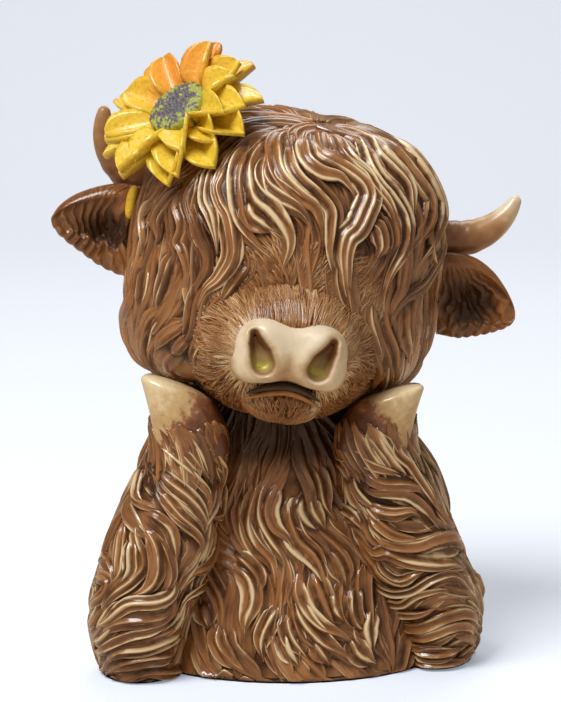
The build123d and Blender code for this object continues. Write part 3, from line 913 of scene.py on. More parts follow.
@dataclass(frozen=True)
class HairMap:
    """Strokes read from the photograph, in its pixels, each from root to tip."""

    fringe: tuple[Stroke, ...] = (
        ((295, 128), (281, 140), (280, 157), (285, 175), (302, 193), (317, 205), (323, 222), (324, 242),
         (322, 257)),
        ((291, 137), (292, 153), (295, 168), (303, 180), (318, 193), (332, 210), (332, 228), (330, 252),
         (334, 275), (338, 287)),
        ((304, 135), (306, 153), (310, 163), (322, 172), (340, 178), (352, 192), (355, 203)),
        ((310, 135), (313, 148), (322, 158), (337, 167), (350, 175), (362, 185), (367, 198), (362, 212),
         (355, 227), (345, 237), (341, 253), (342, 272), (345, 293), (352, 312), (360, 325)),
        ((322, 130), (337, 142), (343, 153), (353, 165), (365, 175), (373, 188), (385, 203), (393, 220),
         (395, 233), (390, 250)),
        ((340, 132), (353, 135), (361, 147), (367, 165), (377, 182), (390, 197), (402, 218), (403, 238),
         (398, 253), (388, 272), (383, 290), (382, 305), (385, 318)),
        ((350, 130), (368, 142), (377, 157), (390, 170), (403, 185), (408, 202), (410, 215), (406, 228)),
        ((363, 130), (383, 145), (400, 163), (415, 182), (427, 202), (425, 222), (417, 237), (408, 252),
         (402, 272)),
        ((370, 125), (395, 140), (415, 162), (430, 185), (438, 208), (435, 232), (428, 250), (412, 270)),
        ((265, 137), (257, 152), (251, 170), (252, 188), (257, 202), (270, 213), (285, 233), (288, 248),
         (283, 265), (281, 278)),
        ((275, 150), (262, 172), (266, 187), (280, 198), (300, 210), (310, 225), (309, 237)),
        ((253, 138), (238, 157), (232, 175), (232, 195), (235, 212), (242, 228), (257, 245), (275, 262)),
        ((248, 198), (253, 215), (265, 225), (278, 233)),
        ((238, 143), (228, 162), (222, 178), (218, 190), (222, 205), (230, 220), (234, 253), (222, 277),
         (208, 290), (198, 310), (193, 327)),
        ((218, 155), (208, 182), (206, 202), (213, 218), (217, 237), (218, 257)),
        ((367, 218), (377, 228), (380, 245), (373, 262)),
    )
    cheeks: tuple[Stroke, ...] = (
        ((442, 202), (445, 228), (437, 255), (430, 270), (420, 285), (403, 297), (393, 313), (393, 327),
         (397, 345)),
        ((437, 287), (430, 312), (425, 345), (420, 375)),
        ((373, 295), (370, 317), (377, 345), (380, 370)),
        ((363, 328), (368, 353), (370, 377)),
        ((407, 295), (403, 328), (407, 362)),
        ((208, 162), (198, 178), (190, 195), (190, 208), (197, 227), (202, 242), (208, 255), (208, 270),
         (198, 290), (195, 317)),
        ((195, 177), (182, 193), (177, 208), (182, 227), (178, 242), (183, 253), (188, 272), (183, 293),
         (178, 307)),
        ((188, 182), (170, 202), (160, 218), (160, 237), (155, 245)),
        ((160, 195), (147, 215), (147, 238), (142, 255)),
        ((177, 246), (172, 264), (166, 284), (160, 302), (158, 316)),
        ((147, 263), (143, 292), (140, 312)),
        ((130, 278), (133, 298), (125, 325), (128, 350), (140, 372)),
        ((165, 307), (152, 320), (147, 337), (148, 358), (158, 370)),
        ((188, 320), (165, 335), (155, 352)),
        ((190, 333), (172, 355)),
        ((215, 328), (198, 355), (198, 370)),
        ((253, 262), (232, 292), (218, 308)),
    )
    right_foreleg: tuple[Stroke, ...] = (
        ((194, 426), (200, 442), (216, 460), (221, 476), (218, 490), (210, 500)),
        ((176, 430), (192, 454), (204, 474), (208, 488)),
        ((160, 436), (176, 458), (192, 474), (200, 484)),
        ((156, 464), (166, 478), (184, 494), (196, 508), (204, 526), (203, 540)),
        ((154, 486), (168, 500), (180, 516), (196, 532), (200, 546), (192, 560)),
        ((142, 510), (158, 518), (170, 530), (174, 550), (176, 568)),
        ((142, 526), (154, 540), (158, 558), (156, 576), (146, 590), (126, 598)),
        ((134, 532), (140, 546), (144, 564), (132, 580), (118, 592), (100, 616)),
        ((132, 536), (131, 556), (130, 572), (120, 586)),
        ((174, 570), (172, 590), (158, 600), (130, 604), (110, 620), (96, 628)),
        ((170, 600), (168, 612), (150, 618), (120, 622), (100, 638)),
        ((172, 622), (152, 632), (130, 638), (110, 648), (98, 654)),
        ((184, 626), (166, 638), (146, 646), (120, 650), (106, 666)),
        ((234, 474), (232, 496), (218, 510), (208, 518)),
        ((220, 526), (218, 540), (208, 558), (192, 572), (184, 584)),
        ((220, 566), (204, 582), (186, 596), (178, 612)),
        ((176, 652), (150, 656), (124, 662), (108, 672)),
        ((180, 666), (156, 670), (130, 676)),
        ((94, 576), (110, 580), (106, 596), (92, 612)),
    )
    left_foreleg: tuple[Stroke, ...] = (
        ((352, 434), (360, 450), (370, 460), (386, 468), (408, 478)),
        ((388, 430), (383, 444), (388, 456), (400, 466)),
        ((392, 432), (396, 448), (408, 464), (420, 484), (432, 504), (446, 524)),
        ((360, 462), (370, 474), (384, 482), (404, 484), (418, 490), (426, 506)),
        ((361, 476), (370, 488), (388, 490), (408, 494), (424, 508), (434, 522), (446, 529)),
        ((364, 500), (378, 510), (394, 514), (410, 512), (422, 520)),
        ((366, 512), (380, 528), (394, 538), (412, 540), (426, 539)),
        ((368, 520), (378, 538), (392, 546), (416, 548), (434, 542), (450, 540), (462, 550), (472, 568)),
        ((360, 538), (374, 552), (388, 550), (408, 558), (428, 562), (452, 564), (464, 570)),
        ((374, 554), (386, 570), (400, 578), (416, 572), (432, 568)),
        ((362, 556), (374, 578), (392, 592), (412, 592), (432, 580), (450, 576), (464, 588), (472, 604)),
        ((376, 590), (392, 602), (406, 604), (420, 594), (440, 590), (456, 594)),
        ((386, 604), (402, 614), (420, 614), (440, 604)),
        ((392, 616), (408, 628), (424, 628), (446, 618), (466, 616), (478, 632)),
        ((404, 636), (424, 638), (450, 628), (466, 628), (472, 640)),
        ((334, 460), (348, 470), (354, 486)),
        ((330, 440), (340, 452), (356, 462)),
        ((472, 568), (480, 584), (486, 604)),
        ((340, 508), (356, 516), (366, 532)),
        ((350, 538), (360, 554), (370, 572)),
        ((410, 648), (434, 654), (462, 646)),
        ((412, 662), (438, 665), (466, 656)),
    )
    chest: tuple[Stroke, ...] = (
        ((260, 474), (254, 500), (250, 524), (256, 544), (272, 564), (276, 590)),
        ((268, 476), (262, 500), (262, 520), (272, 540), (284, 560), (284, 578)),
        ((280, 478), (268, 506), (272, 528), (288, 542), (298, 556)),
        ((232, 552), (246, 564), (258, 580), (256, 600)),
        ((232, 564), (248, 580), (252, 600), (246, 620), (244, 640)),
        ((280, 604), (266, 630), (262, 646), (264, 662)),
        ((220, 620), (218, 640), (228, 658), (246, 672)),
        ((204, 600), (210, 630)),
        ((292, 496), (288, 516), (296, 540), (314, 558), (324, 580), (324, 596)),
        ((304, 494), (300, 510), (308, 524), (320, 532)),
        ((310, 494), (312, 512), (326, 532)),
        ((300, 568), (296, 590), (304, 612), (320, 628), (340, 636), (358, 646)),
        ((312, 570), (330, 616), (338, 632)),
        ((292, 592), (302, 620), (320, 642), (340, 654), (354, 664)),
        ((288, 610), (292, 634), (308, 660)),
        ((284, 630), (288, 650), (300, 668)),
        ((352, 584), (350, 608), (356, 626), (370, 632)),
        ((360, 584), (360, 610), (370, 628)),
        ((334, 588), (336, 610), (348, 626)),
        ((328, 548), (340, 568), (346, 590)),
        ((312, 640), (330, 666)),
        ((370, 604), (364, 630), (372, 656)),
        ((350, 636), (358, 654), (376, 664)),
        ((310, 460), (318, 480), (324, 506), (336, 520)),
    )
    whorl: Pixel = (315, 125)
    paint_run: Stroke = ((135, 186), (131, 201), (129, 219))


STROKES = HairMap()


@dataclass(frozen=True)
class EarEdges:
    """The ears read from the photograph, in its pixels.

    The edges go from root to tip. The strands bend round a pivot or fan out from it.
    """

    right_top: Stroke = (
        (144, 186), (125, 183), (110, 184), (92, 188), (74, 195), (60, 205), (52, 216), (51, 220),
    )
    right_low: Stroke = (
        (144, 284), (127, 277), (112, 271), (97, 263), (82, 252), (66, 240), (55, 229), (51, 220),
    )
    left_top: Stroke = (
        (436, 252), (455, 252), (476, 258), (492, 270), (503, 284), (511, 299), (515, 313),
    )
    left_low: Stroke = (
        (436, 334), (455, 337), (475, 335), (490, 332), (505, 327), (513, 321), (515, 313),
    )
    right_hollow: Pixel = (110, 234)
    right_pivot: Pixel = (168, 240)
    left_hollow: Pixel = (467, 302)
    left_pivot: Pixel = (446, 246)


EAR_EDGES = EarEdges()


def tint(red: int, green: int, blue: int) -> Colour:
    """A screen colour as the linear colour that a shader takes.

    Args:
        red: Its red, from 0 to 255.
        green: Its green, from 0 to 255.
        blue: Its blue, from 0 to 255.

    Returns:
        The colour, with full cover.
    """
    shares = [part / 255.0 for part in (red, green, blue)]
    linear = [s / 12.92 if s <= 0.04045 else ((s + 0.055) / 1.055) ** 2.4 for s in shares]
    return (linear[0], linear[1], linear[2], 1.0)


class Nodes:
    """Adds nodes to a material or a node group."""

    def __init__(self, tree: bpy.types.NodeTree) -> None:
        """Takes the tree to work in."""
        self.tree = tree

    def add(
        self, kind: str, sockets: dict[str | int, Value] | None = None, **settings: object,
    ) -> bpy.types.Node:
        """Adds one node.

        Args:
            kind: The node's type.
            sockets: Values for its inputs, or the outputs to link to them.
            settings: Values for its own settings.

        Returns:
            The node.
        """
        node = self.tree.nodes.new(kind)
        for setting, value in settings.items():
            setattr(node, setting, value)
        for key, value in (sockets or {}).items():
            if isinstance(value, Socket):
                self.tree.links.new(value, node.inputs[key])
            else:
                node.inputs[key].default_value = value
        return node

    def math(self, operation: str, a: Value, b: Value, clamp: bool = False) -> Socket:
        """One sum of two values."""
        node = self.add("ShaderNodeMath", {0: a, 1: b}, operation=operation, use_clamp=clamp)
        return node.outputs[0]

    def part(self, value: Value, share: Value) -> Socket:
        """A share of a value."""
        return self.math("MULTIPLY", value, share)

    def total(self, *terms: Value) -> Socket:
        """The sum of several values."""
        return reduce(lambda a, b: self.math("ADD", a, b), terms)

    def swing(self, noise: Value, share: float) -> Socket:
        """A share of how far a noise lies over its middle."""
        return self.part(self.math("SUBTRACT", noise, 0.5), share)

    def mix(self, share: Value, a: Value, b: Value) -> Socket:
        """Two colours blended by a share."""
        node = self.add("ShaderNodeMix", {0: share, 6: a, 7: b}, data_type="RGBA")
        return node.outputs[2]

    def step(self, value: Value, low: Value, high: Value) -> Socket:
        """A soft step from 0 at low to 1 at high."""
        ends = {"Value": value, "From Min": low, "From Max": high}
        return self.add("ShaderNodeMapRange", ends, interpolation_type="SMOOTHSTEP").outputs[0]

    def noise(self, size: float, detail: float = 3.0) -> Socket:
        """Cloudy noise fixed to the piece.

        Args:
            size: The size of its patches, in millimetres.
            detail: How many finer noises are laid over it.

        Returns:
            Its value, from 0 to 1.
        """
        place = self.add("ShaderNodeTexCoord").outputs["Object"]
        sockets = {"Vector": place, "Scale": 1.0 / (size * MM), "Detail": detail}
        return self.add("ShaderNodeTexNoise", sockets).outputs["Fac"]

    def mask(self, name: str) -> Socket:
        """A point mask of the mesh."""
        return self.add("ShaderNodeAttribute", attribute_name=name).outputs["Fac"]


class Effect:
    """A shader node group that several finishes share."""

    def __init__(self, name: str, outputs: dict[str, str], inputs: dict[str, str]) -> None:
        """Starts the group.

        Args:
            name: The group's name.
            outputs: Its outputs and their socket types.
            inputs: Its inputs and their socket types.
        """
        self.tree = bpy.data.node_groups.new(name, "ShaderNodeTree")
        for way, sockets in (("INPUT", inputs), ("OUTPUT", outputs)):
            for socket, kind in sockets.items():
                self.tree.interface.new_socket(socket, in_out=way, socket_type=kind)
        self.nodes = Nodes(self.tree)
        self.given = self.nodes.add("NodeGroupInput")
        self.result = self.nodes.add("NodeGroupOutput")

    def give(self, **results: Socket) -> bpy.types.NodeTree:
        """Links the group's outputs.

        Args:
            results: What each output takes, by its name.

        Returns:
            The finished group.
        """
        for name, socket in results.items():
            self.tree.links.new(socket, self.result.inputs[name])
        return self.tree


COLOUR, FLOAT = "NodeSocketColor", "NodeSocketFloat"


def carved_paint() -> bpy.types.NodeTree:
    """The paint of carved hair: brown, a dark wash in the grooves and pale paint brushed on the crests.

    Returns:
        A group that gives the colour, the roughness, a fine height and the weight of the lacquer.
    """
    effect = Effect(
        "carved_paint", {"Colour": COLOUR, "Roughness": FLOAT, "Height": FLOAT, "Gloss": FLOAT},
        {"Light": COLOUR, "Deep": COLOUR, "Wash": COLOUR, "Pale": COLOUR, "Brush": FLOAT},
    )
    n, given = effect.nodes, effect.given.outputs
    crest, cavity, tone, pale, run, side = (n.mask(name) for name in HairMesh.masks)
    patch, fine, grit = n.noise(9.0), n.noise(2.2), n.noise(0.9, 2.0)
    place = n.add("ShaderNodeCombineXYZ", {0: n.part(side, 2.0), 1: n.part(run, 0.15), 2: n.part(tone, 70.0)})
    streaks = {"Vector": place.outputs[0], "Scale": 1.0, "Detail": 2.5}
    strand = n.add("ShaderNodeTexNoise", streaks).outputs["Fac"]
    share = n.total(n.part(tone, 0.3), n.part(patch, 0.45), n.part(strand, 0.6))
    brown = n.mix(n.step(share, 0.42, 0.95), given["Deep"], given["Light"])
    # The cavity mask also carries the painted shade under the head, which takes the dark wash colour here.
    depth = n.total(cavity, n.swing(strand, -0.5))
    washed = n.mix(n.step(depth, 0.2, 0.95), brown, given["Wash"])
    amount = n.part(n.part(pale, given["Brush"]), n.step(patch, 0.28, 0.68))
    amount = n.math("MINIMUM", amount, 1.15)
    low = n.math("SUBTRACT", 1.0, n.part(amount, 0.5))
    edge = n.total(crest, n.swing(strand, 0.35))
    shown = n.math("SUBTRACT", 1.0, n.step(cavity, 0.3, 0.8))
    brush = n.part(n.step(edge, low, n.total(low, 0.16)), shown)
    dusted = n.part(n.step(edge, n.math("SUBTRACT", low, 0.4), low), shown)
    dusted = n.math("MULTIPLY", dusted, n.part(amount, 0.55), clamp=True)
    colour = n.mix(brush, n.mix(dusted, washed, given["Pale"]), given["Pale"])
    rough = n.total(n.part(brush, 0.18), n.part(fine, 0.2), 0.15)
    height = n.total(n.part(strand, 1.2), n.part(grit, 0.35))
    return effect.give(Colour=colour, Roughness=rough, Height=height, Gloss=shown)


def lacquer(
    material: Material, bump: float, height: Socket | None, **inputs: Value,
) -> None:
    """Fits a material's shader.

    Args:
        material: The material, with its nodes on.
        bump: The depth of its fine bumps, in millimetres.
        height: What the bumps follow.
        inputs: The shader's inputs by name, with spaces as underscores.
    """
    n = Nodes(material.node_tree)
    shader = material.node_tree.nodes["Principled BSDF"]
    for name, value in inputs.items():
        socket = shader.inputs[name.replace("_", " ")]
        if isinstance(value, Socket):
            material.node_tree.links.new(value, socket)
        else:
            socket.default_value = value
    if height is not None:
        bumps = n.add("ShaderNodeBump", {"Height": height, "Distance": bump * MM, "Strength": 1.0})
        material.node_tree.links.new(bumps.outputs["Normal"], shader.inputs["Normal"])


def blank(name: str) -> tuple[Material, Nodes]:
    """A new material with its nodes on, and what adds nodes to it.

    Args:
        name: The material's name.

    Returns:
        The material, and the builder of its nodes.
    """
    material = bpy.data.materials.new(name)
    material.use_nodes = True
    return material, Nodes(material.node_tree)


@dataclass(frozen=True)
class HairFinish:
    """Lacquered carved hair: two browns, a dark wash in the grooves and pale paint brushed on the crests."""

    name: str
    light: Colour = tint(170, 114, 64)
    deep: Colour = tint(115, 70, 35)
    # The colour of the dark wash in the grooves, also used for the painted shade under the head.
    wash: Colour = tint(60, 34, 16)
    pale: Colour = tint(230, 206, 164)
    brush: float = 1.0
    gloss: float = 1.0

    def make(self, paint: bpy.types.NodeTree) -> Material:
        """Makes the material.

        Args:
            paint: The shared group of the carved paint.

        Returns:
            The material.
        """
        material, n = blank(self.name)
        group = n.add("ShaderNodeGroup", node_tree=paint)
        for socket, value in zip(group.inputs, (self.light, self.deep, self.wash, self.pale, self.brush)):
            socket.default_value = value
        lacquer(
            material, 0.22, group.outputs["Height"], Base_Color=group.outputs["Colour"],
            Roughness=group.outputs["Roughness"], Specular_IOR_Level=0.4,
            Coat_Weight=n.part(group.outputs["Gloss"], self.gloss), Coat_Roughness=0.12,
        )
        return material


@dataclass(frozen=True)
class PlainFinish:
    """One colour with a little cloudiness: its name, colour, roughness and share of metal."""

    name: str
    colour: Colour
    rough: float
    metallic: float = 0.0

    def make(self) -> Material:
        """Makes the material.

        Returns:
            The material.
        """
        material, n = blank(self.name)
        darker = tuple(part * 0.8 for part in self.colour[:3]) + (1.0,)
        shade = n.mix(n.step(n.noise(1.5), 0.35, 0.7), self.colour, darker)
        lacquer(material, 0.05, n.noise(0.5), Base_Color=shade, Roughness=self.rough, Metallic=self.metallic)
        return material


@dataclass(frozen=True)
class NosePaint:
    """Cream paint, tan in cloudy patches and browner towards the bottom middle, round the nostrils and along
    the lower edge, with brown and lime in the nostrils.
    """

    cream: Colour = tint(226, 210, 182)
    tan: Colour = tint(206, 180, 144)
    nose_brown: Colour = tint(158, 112, 72)
    pit_brown: Colour = tint(122, 82, 46)
    pit_olive: Colour = tint(160, 136, 82)
    lime: Colour = tint(200, 194, 70)

    def make(self) -> Material:
        """Makes the material.

        Returns:
            The material.
        """
        material, n = blank("nose_cream")
        cloud, spot, low = n.noise(7.0), n.noise(1.2), n.mask("lime")
        # Tan in cloudy patches, and browner where the pad's brown mask is high: the bottom middle, round the
        # nostrils and along the lower edge.
        browning = n.total(n.part(n.mask("brown_places"), 0.55), n.part(cloud, 0.6), n.swing(spot, 0.35))
        pad = n.mix(n.step(browning, 0.3, 0.62), self.cream, self.tan)
        pad = n.mix(n.part(n.step(browning, 0.52, 0.9), 0.6), pad, self.nose_brown)
        pit = n.mix(n.step(low, 0.0, 0.7), self.pit_brown, self.pit_olive)
        pit = n.mix(n.step(n.total(low, n.part(spot, 0.2)), 0.86, 1.12), pit, self.lime)
        colour = n.mix(n.mask("pit"), pad, pit)
        lacquer(material, 0.06, n.noise(0.8), Base_Color=colour, Roughness=0.38, Coat_Weight=0.15)
        return material


@dataclass(frozen=True)
class HornPaint:
    """Brown at the root, golden on the way and cream at the tip, brushed along its length."""

    root: Colour = tint(124, 78, 44)
    gold: Colour = tint(180, 138, 92)
    cream: Colour = tint(228, 214, 186)

    def make(self) -> Material:
        """Makes the material.

        Returns:
            The material.
        """
        material, n = blank("horn_paint")
        place = n.total(n.mask("along"), n.swing(n.noise(3.0), 0.4), n.part(n.mask("under"), -0.12))
        colour = n.mix(n.step(place, 0.2, 0.75), self.root, self.gold)
        colour = n.mix(n.step(place, 0.6, 1.0), colour, self.cream)
        lacquer(material, 0.08, n.noise(1.0), Base_Color=colour, Roughness=0.36, Coat_Weight=0.3)
        return material


@dataclass(frozen=True)
class HoofPaint:
    """Cream at the outer tip, dark brown at the wrist, sponged between them."""

    wrist: Colour = tint(100, 60, 38)
    brown: Colour = tint(146, 96, 66)
    tan: Colour = tint(196, 164, 116)
    cream: Colour = tint(226, 206, 166)

    def make(self) -> Material:
        """Makes the material.

        Returns:
            The material.
        """
        material, n = blank("hoof_paint")
        cloud, sponge, fine = n.noise(6.0), n.noise(1.5, 4.0), n.noise(0.5)
        place = n.total(n.part(n.mask("along"), 0.5), n.part(n.mask("outward"), 0.5), 0.04)
        place = n.total(place, n.swing(sponge, 0.55), n.swing(cloud, 0.4), n.swing(fine, 0.12))
        colour = n.mix(n.step(place, 0.1, 0.42), self.wrist, self.brown)
        colour = n.mix(n.step(place, 0.32, 0.52), colour, self.tan)
        colour = n.mix(n.step(place, 0.5, 0.95), colour, self.cream)
        lacquer(material, 0.05, n.noise(1.2), Base_Color=colour, Roughness=0.3, Coat_Weight=0.3)
        return material


@dataclass(frozen=True)
class PetalPaint:
    """Yellow petals that turn orange towards the disc and on the flower's upper side."""

    yellow: Colour = tint(232, 198, 60)
    orange: Colour = tint(238, 152, 56)
    ochre: Colour = tint(190, 150, 32)

    def make(self) -> Material:
        """Makes the material.

        Returns:
            The material.
        """
        material, n = blank("petal_paint")
        cloud, streak = n.noise(4.0), n.noise(1.0)
        warm = n.total(n.part(n.mask("sunny"), 0.75), n.part(n.mask("along"), -0.5))
        warm = n.total(warm, n.swing(cloud, 0.4), n.part(n.mask("shade"), 0.2))
        colour = n.mix(n.step(warm, -0.15, 0.42), self.yellow, self.orange)
        colour = n.mix(n.part(n.step(streak, 0.45, 0.75), 0.6), colour, self.ochre)
        ribs = n.total(streak, cloud)
        lacquer(material, 0.14, ribs, Base_Color=colour, Roughness=0.36, Coat_Weight=0.25)
        return material


@dataclass(frozen=True)
class SeedPaint:
    """Grey seeds with lime paint in blotches between them."""

    slate: Colour = tint(70, 66, 74)
    grey: Colour = tint(116, 108, 112)
    green: Colour = tint(150, 158, 60)
    lime: Colour = tint(176, 180, 92)

    def make(self) -> Material:
        """Makes the material.

        Returns:
            The material.
        """
        material, n = blank("seed_paint")
        blotch, fine = n.noise(1.6, 5.0), n.noise(0.6)
        seeds = n.mix(n.step(fine, 0.3, 0.7), self.slate, self.grey)
        between = n.mix(n.step(fine, 0.35, 0.7), self.green, self.lime)
        rim = n.part(n.math("SUBTRACT", n.mask("rim"), 0.6), 0.3)
        share = n.total(blotch, n.part(n.mask("bump"), -0.12), rim)
        colour = n.mix(n.step(share, 0.44, 0.56), seeds, between)
        lacquer(material, 0.12, fine, Base_Color=colour, Roughness=0.5)
        return material


class FinishBook:
    """Every finish of the ornament, made once."""

    def __init__(self) -> None:
        """Makes the materials."""
        paint = carved_paint()
        fur = HairFinish("short_fur", tint(176, 122, 68), tint(122, 76, 38), brush=0.9, gloss=0.6)
        beard = HairFinish("beard", tint(178, 120, 62), tint(122, 74, 35), brush=0.9, gloss=0.5)
        ear = HairFinish("ear_hair", tint(156, 100, 50), tint(104, 60, 26), brush=0.6, gloss=0.7)
        self.hair = HairFinish("carved_hair").make(paint)
        self.fur, self.beard, self.ear = (finish.make(paint) for finish in (fur, beard, ear))
        self.lip = PlainFinish("lip", tint(176, 120, 72), 0.18).make()
        self.mouth = PlainFinish("mouth", tint(70, 56, 40), 0.5).make()
        self.felt = PlainFinish("felt", tint(28, 26, 25), 0.95).make()
        self.wire = PlainFinish("wire", tint(150, 150, 152), 0.35, metallic=1.0).make()
        self.stem = PlainFinish("stem", tint(200, 160, 30), 0.5).make()
        self.nose = NosePaint().make()
        self.horn = HornPaint().make()
        self.hoof = HoofPaint().make()
        self.petal = PetalPaint().make()
        self.seed = SeedPaint().make()


@dataclass
class HeadHair:
    """The head with its long hair, which falls from a whorl on the crown.

    The front piece meets the back one at the split. No lock starts on the snout or under the lowest level.
    """

    finishes: FinishBook
    surface: Surface = field(default_factory=HEAD_FORM.surface)
    spacing: float = 5.4
    split: float = 4.0
    sway: float = 0.22
    snout_middle: float = -18.5
    snout_half: Span = (20.0, 16.5)
    lowest: float = -27.5

    def back_strokes(self) -> list[Array]:
        """Waved strokes from the whorl down the sides and the back.

        Returns:
            The strokes, as points in the part's frame.
        """
        crown = unit(HEAD.local(self.surface.under_pixel(STROKES.whorl)[None])[0])
        share = np.linspace(0.04, 1.0, 26)
        strokes = []
        for number, angle in enumerate(np.radians(np.linspace(-28.0, 208.0, 30))):
            foot = unit(np.array([math.cos(angle), math.sin(angle), -0.72]))
            side = unit(np.cross(crown, foot))
            gap = math.acos(float(np.clip(crown @ foot, -1, 1)))
            sway = 0.085 * np.sin(share * 8.5 + 2.1 * math.sin(number * 0.9)) * smooth(share, 0.05, 0.4)
            near, far = np.sin((1 - share) * gap)[:, None], np.sin(share * gap)[:, None]
            ways = (near * crown + far * foot) / math.sin(gap)
            strokes.append(HEAD.place(HEAD_FORM.reach(ways + sway[:, None] * side)))
        return strokes

    def bare(self, point: Array) -> bool:
        """Whether a place has no long hair: the snout, and the flat under the head.

        Args:
            point: A place on the head.

        Returns:
            True where no lock starts.
        """
        x, y, z = HEAD.local(point[None])[0]
        wide, high = self.snout_half
        snout = y < 0 and (x / wide) ** 2 + ((z - self.snout_middle) / high) ** 2 < 1.0
        return bool(snout or z < self.lowest)

    def build(self) -> None:
        """Carves the locks and makes the pieces."""
        fringe = [self.surface.stroke(stroke) for stroke in STROKES.fringe]
        cheeks = [self.surface.stroke(stroke) for stroke in STROKES.cheeks]
        flow = HairFlow(self.surface, fringe + cheeks + self.back_strokes())
        front, rear = HairMesh(11), HairMesh(12)
        front.take(self.surface.verts, self.surface.faces, tone=0.5)
        for seed in self.surface.scatter(self.spacing, 5):
            if self.bare(seed):
                continue
            mesh = front if seed[1] < self.split else rear
            rng = mesh.rng
            phase = 2.5 * float(drift(seed[None], 14.0, 8)[0]) + rng.uniform(0.0, 1.5)
            line = flow.lock_line(seed, rng.uniform(8.0, 13.0), rng.uniform(12.0, 20.0), self.sway, phase)
            style = LockStyle(
                rng.uniform(2.2, 3.3), int(rng.integers(1, 4)), rng.uniform(0.8, 1.4),
                lift=rng.uniform(0.0, 0.5), step=1.4, paint=0.42, bare=0.5,
            )
            mesh.add_lock(self.surface, line, style)
        rng = front.rng
        for line in cheeks:
            style = LockStyle(
                rng.uniform(1.8, 2.5), int(rng.integers(2, 4)), 1.3, carve=0.4, lift=0.6, paint=0.8,
            )
            front.add_lock(self.surface, line, style)
        for line in fringe:
            # The fringe's locks take more of the lighter brown: partly the tan of their paint, partly a
            # painted sheen of the lacquer.
            style = LockStyle(
                rng.uniform(2.2, 3.2), int(rng.integers(2, 4)), 1.5, carve=0.4, lift=1.0, paint=1.5,
                bare=0.14, tone=0.6,
            )
            front.add_lock(self.surface, line, style)
        dress(front.to_object("head_hair_front", self.finishes.hair), Slot.HAIR, "head")
        dress(rear.to_object("head_hair_back", self.finishes.hair), Slot.HAIR)


@dataclass
class ColumnHair:
    """A torso or a foreleg with its hair.

    The hidden angles are the side that the photograph doesn't show. No lock starts inside a form to avoid.
    A cuff lies over the root of a hoof. Painted shade under the head, in the dark wash colour, darkens the
    front from its first level up to its second.
    """

    node: str
    form: Column
    strokes: tuple[Stroke, ...]
    finishes: FinishBook
    spacing: float
    width: float
    paint: float
    seed: int
    hidden_angles: Span
    avoid: tuple[Surface, ...] = ()
    cuff: Column | None = None
    cuff_angles: Span = (0.0, 360.0)
    wash: Span | None = None
    sway: float = 0.2
    surface: Surface = field(init=False)

    def __post_init__(self) -> None:
        """Makes the form under the hair."""
        self.surface = self.form.surface()

    def hidden_strokes(self) -> list[Array]:
        """Waved strokes down the side that the photograph doesn't show.

        Returns:
            The strokes, as points in the part's frame.
        """
        low, high = self.form.low, self.form.high
        share = np.linspace(0.0, 1.0, 24)
        strokes = []
        for number, angle in enumerate(np.radians(np.arange(*self.hidden_angles, 14.0))):
            turn = angle + 0.14 * np.sin(share * 9.0 + 1.9 * math.sin(number * 1.1 + self.seed))
            strokes.append(self.form.wrap(turn, high - 2.0 + (low - high + 3.0) * share))
        return strokes

    def inside_other(self, point: Array) -> bool:
        """Whether a place lies inside a neighbouring form.

        Args:
            point: A place on this form.

        Returns:
            True where no lock starts.
        """
        for other in self.avoid:
            hit, normal, _, _ = other.tree.find_nearest(Vector(point))
            if (Vector(point) - hit).dot(normal) < -0.6:
                return True
        return False

    def add_cuff(self, mesh: HairMesh, cuff: Column) -> None:
        """Adds pointed locks that lie over the root of the hoof.

        Args:
            mesh: The hair of this form.
            cuff: The form that the locks lie on.
        """
        rng, around = mesh.rng, cuff.surface()
        share = np.linspace(0.0, 1.0, 9)
        for angle in np.radians(np.arange(*self.cuff_angles, 13.0)):
            turn = angle - 0.3 + rng.uniform(-0.05, 0.05) + 0.7 * share
            start = cuff.high - rng.uniform(0.2, 2.6)
            line = cuff.wrap(turn, start + (cuff.low + rng.uniform(0.0, 6.0) - start) * share)
            style = LockStyle(
                rng.uniform(2.0, 2.7), int(rng.integers(1, 3)), rng.uniform(0.7, 0.95), carve=0.4, lift=0.2,
                root=0.15, paint=0.9, bare=0.25, over=1.0,
            )
            mesh.add_lock(around, line, style)

    def build(self) -> None:
        """Carves the locks and makes the piece."""
        shown = [self.surface.stroke(stroke) for stroke in self.strokes]
        flow = HairFlow(self.surface, shown + self.hidden_strokes())
        mesh = HairMesh(self.seed)
        mesh.take(self.surface.verts, self.surface.faces, tone=0.5)
        rng, width = mesh.rng, self.width
        for seed in self.surface.scatter(self.spacing, self.seed):
            if not self.form.low + 0.8 < seed[2] < self.form.high - 1.0 or self.inside_other(seed):
                continue
            phase = 2.5 * float(drift(seed[None], 12.0, 9)[0]) + rng.uniform(0.0, 1.5)
            back, ahead = rng.uniform(2.8, 4.4) * width, rng.uniform(4.5, 7.5) * width
            line = flow.lock_line(seed, back, ahead, self.sway, phase)
            style = LockStyle(
                width * rng.uniform(0.8, 1.2), int(rng.integers(1, 3)), rng.uniform(0.7, 1.2), carve=0.38,
                lift=rng.uniform(0.0, 0.45), step=1.25, paint=self.paint, bare=0.3,
            )
            mesh.add_lock(self.surface, line, style)
        for line in shown:
            style = LockStyle(
                width * rng.uniform(0.9, 1.2), 2, 1.3, carve=0.42, lift=0.7, paint=1.3, bare=0.16, tone=0.3,
            )
            mesh.add_lock(self.surface, line, style)
        if self.cuff:
            self.add_cuff(mesh, self.cuff)
        # Painted shade under the head, on the front.
        if self.wash:
            mesh.shade_under_head(*self.wash)
        dress(mesh.to_object(f"{self.node}_hair", self.finishes.hair), Slot.HAIR, self.node)


